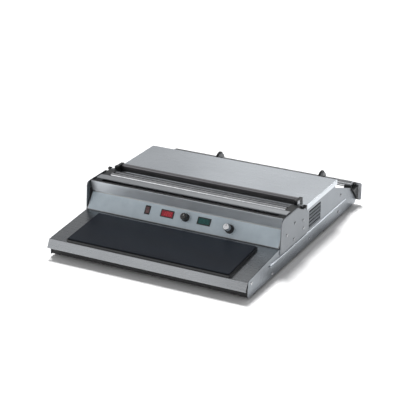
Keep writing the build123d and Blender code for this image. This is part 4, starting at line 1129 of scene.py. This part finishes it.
@dataclass
class RearCradle(SubAssembly):
    """The two rollers in the open bay, with the film stops and what carries them."""

    def dress_cradle(self) -> None:
        """Dress the cradle."""
        chrome = PolishedMetal("cradle_chrome", "DADBDD", "BDBFC2", 0.16)
        self.dress(chrome, "cradle_roller", "stop_roller")
        self.dress(PolishedMetal("axle_steel", "B5B6B8", "8E9093", 0.3), "cradle_axle")
        self.dress(MouldedPlastic("cradle_nylon", "E4E2DA", "CFCDC3", 0.5), "cradle_bushes")
        stop = MouldedPlastic("stop_plastic", "6F7173", "55575A", 0.4)
        self.dress(stop, "film_stop_left", "film_stop_right")
        rubber = MouldedRubber("stop_rubber", "1A1A1B", "0B0B0C", 0.6)
        self.dress(rubber, "stop_ring_left", "stop_ring_right")
        block = MouldedPlastic("saddle_plastic", "17181A", "0B0C0D", 0.45)
        self.dress(block, "saddle_block_left", "saddle_block_right")
        steel = BrushedSteel("end_plate_steel", "DCDEE1", "C9CCD0", 0.5, grain=Grain.ALONG_Z)
        self.dress(steel, "arm_end_plates")
        self.dress(GalvanisedSheet("channel_zinc", "B9BBBD", "8E9194"), "rear_channel")


@dataclass
class ElectricalParts(SubAssembly):
    """The bought-in electrical parts inside the housing, and the inlet in its rear wall."""

    def dress_parts(self) -> None:
        """Dress the electrical parts."""
        self.dress(StackedCore("transformer_core", "5E5A56", "2E2C2A"), "transformer")
        self.dress(WovenLaminate("board_laminate", "2F7A4B", "1E5A36", 0.35), "control_board")
        self.dress(MouldedPlastic("terminal_plastic", "1C1D20", "101113", 0.5), "terminal_block")
        self.dress(MouldedPlastic("inlet_plastic", "18191B", "0C0D0E", 0.35), "power_inlet")


@dataclass
class Studio:
    """The pale floor, the soft lights and the camera at the photograph's angle."""

    camera_spot: tuple[float, float, float] = (1446.27, -2854.82, 1395.12)
    azimuth: float = 27.225
    elevation: float = 22.424
    roll: float = 0.28
    lens: float = 135.0
    sensor: float = 36.0
    view_depth: float = 60.0
    floor_size: float = 14.0
    aim_height: float = 0.05
    sun_width: float = math.radians(16)
    sun_power: float = 3.5
    sun_way: tuple[float, float, float] = (-0.27, 0.42, 1.0)
    sky_tint: tuple[float, float, float] = (0.985, 0.99, 1.0)
    sky_heights: tuple[float, ...] = (0.0, 0.32, 0.42, 0.52, 0.66, 0.80, 1.0)
    sky_levels: tuple[float, ...] = (0.78, 0.76, 0.56, 0.31, 0.16, 0.26, 0.34)

    def build_floor(self) -> None:
        """Lay the floor as one large flat sheet of pale paper."""
        deselect()
        bpy.ops.mesh.primitive_plane_add(size=self.floor_size)
        floor = bpy.context.active_object
        floor.name = "studio_floor"
        bpy.ops.object.mode_set(mode="EDIT")
        bpy.ops.mesh.subdivide(number_cuts=3)
        bpy.ops.object.mode_set(mode="OBJECT")
        tooth = {"texture": 3 * MM, "depth": 0.02 * MM}
        assign(floor, MouldedPlastic("floor_paper", "FAFAFA", "F5F5F5", 0.85, **tooth).build())

    def build_light(self, name: str, spot: Sequence[float], size: Sequence[float], power: float) -> None:
        """Hang a soft panel of light that looks at the machine.

        Args:
            name: the light's name.
            spot: its place, in metres.
            size: its width and height, in metres.
            power: its power, in watts.
        """
        data = bpy.data.lights.new(name, "AREA")
        data.shape = "RECTANGLE"
        data.size, data.size_y = size
        data.energy = power
        lamp = bpy.data.objects.new(name, data)
        bpy.context.scene.collection.objects.link(lamp)
        lamp.location = spot
        aim = Vector((0, 0, self.aim_height)) - Vector(spot)
        lamp.rotation_euler = aim.to_track_quat("-Z", "Y").to_euler()

    def build_lights(self) -> None:
        """Set the sky, which is bright near the horizon and dark half way up, and hang the lamps."""
        world = bpy.data.worlds.new("studio_sky")
        bpy.context.scene.world = world
        world.use_nodes = True
        tree = world.node_tree
        direction = add_node(tree, "ShaderNodeTexCoord").outputs["Generated"]
        height = add_node(tree, "ShaderNodeSeparateXYZ", {}, {"Vector": direction}).outputs["Z"]
        colours = [(*(level * share for share in self.sky_tint), 1.0) for level in self.sky_levels]
        stops = list(zip(self.sky_heights, colours))
        ramp = add_node(tree, "ShaderNodeValToRGB", {"stops": stops}, {"Fac": height})
        tree.links.new(ramp.outputs["Color"], tree.nodes["Background"].inputs["Color"])
        tree.nodes["Background"].inputs["Strength"].default_value = 1.0
        self.build_key()
        self.build_light("rear_light", (0.5, 3.1, 2.1), (0.8, 0.6), 15.0)
        self.build_light("table_light", (-0.8, 2.8, 1.6), (1.3, 1.0), 2.0)
        self.build_light("front_light", (-2.1, -2.1, 2.1), (2.8, 1.6), 12.0)

    def build_key(self) -> None:
        """Hang the far, broad key light that falls from behind on the left and throws the soft shadow."""
        data = bpy.data.lights.new("key_light", "SUN")
        data.angle = self.sun_width
        data.energy = self.sun_power
        lamp = bpy.data.objects.new("key_light", data)
        # Metal mirrors the sky and the soft panels alone; the key light's own image would glare from above
        lamp.visible_glossy = False
        bpy.context.scene.collection.objects.link(lamp)
        lamp.rotation_euler = Vector(self.sun_way).to_track_quat("Z", "Y").to_euler()

    def build_camera(self) -> None:
        """Set the camera where the photograph was taken from."""
        turn, rise = math.radians(self.azimuth), math.radians(self.elevation)
        flat = math.cos(rise)
        back = Vector((math.sin(turn) * flat, -math.cos(turn) * flat, math.sin(rise)))
        data = bpy.data.cameras.new("photo_camera")
        data.lens = self.lens
        data.sensor_width = self.sensor
        data.clip_end = self.view_depth
        camera = bpy.data.objects.new("photo_camera", data)
        bpy.context.scene.collection.objects.link(camera)
        aim = (-back).to_track_quat("-Z", "Y").to_matrix().to_4x4()
        spot = Matrix.Translation(Vector(self.camera_spot) * MM)
        camera.matrix_world = spot @ aim @ Matrix.Rotation(math.radians(self.roll), 4, "Z")
        bpy.context.scene.camera = camera
        bpy.context.scene.view_settings.view_transform = "Standard"


def main() -> None:
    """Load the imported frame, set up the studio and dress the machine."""
    logging.basicConfig(level=logging.INFO, format="%(name)s: %(message)s")
    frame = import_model()
    nodes = frame["nodes"]
    studio = Studio()
    studio.build_camera()
    studio.build_floor()
    studio.build_lights()
    housing = Housing(nodes)
    housing.dress_sheets()
    housing.build_screws()
    HotPlate(nodes).dress_plate()
    panel = ControlPanel(nodes)
    panel.dress_panel()
    panel.build_details()
    FilmDeck(nodes).dress_deck()
    RearCradle(nodes).dress_cradle()
    ElectricalParts(nodes).dress_parts()


if __name__ == "__main__":
    main()
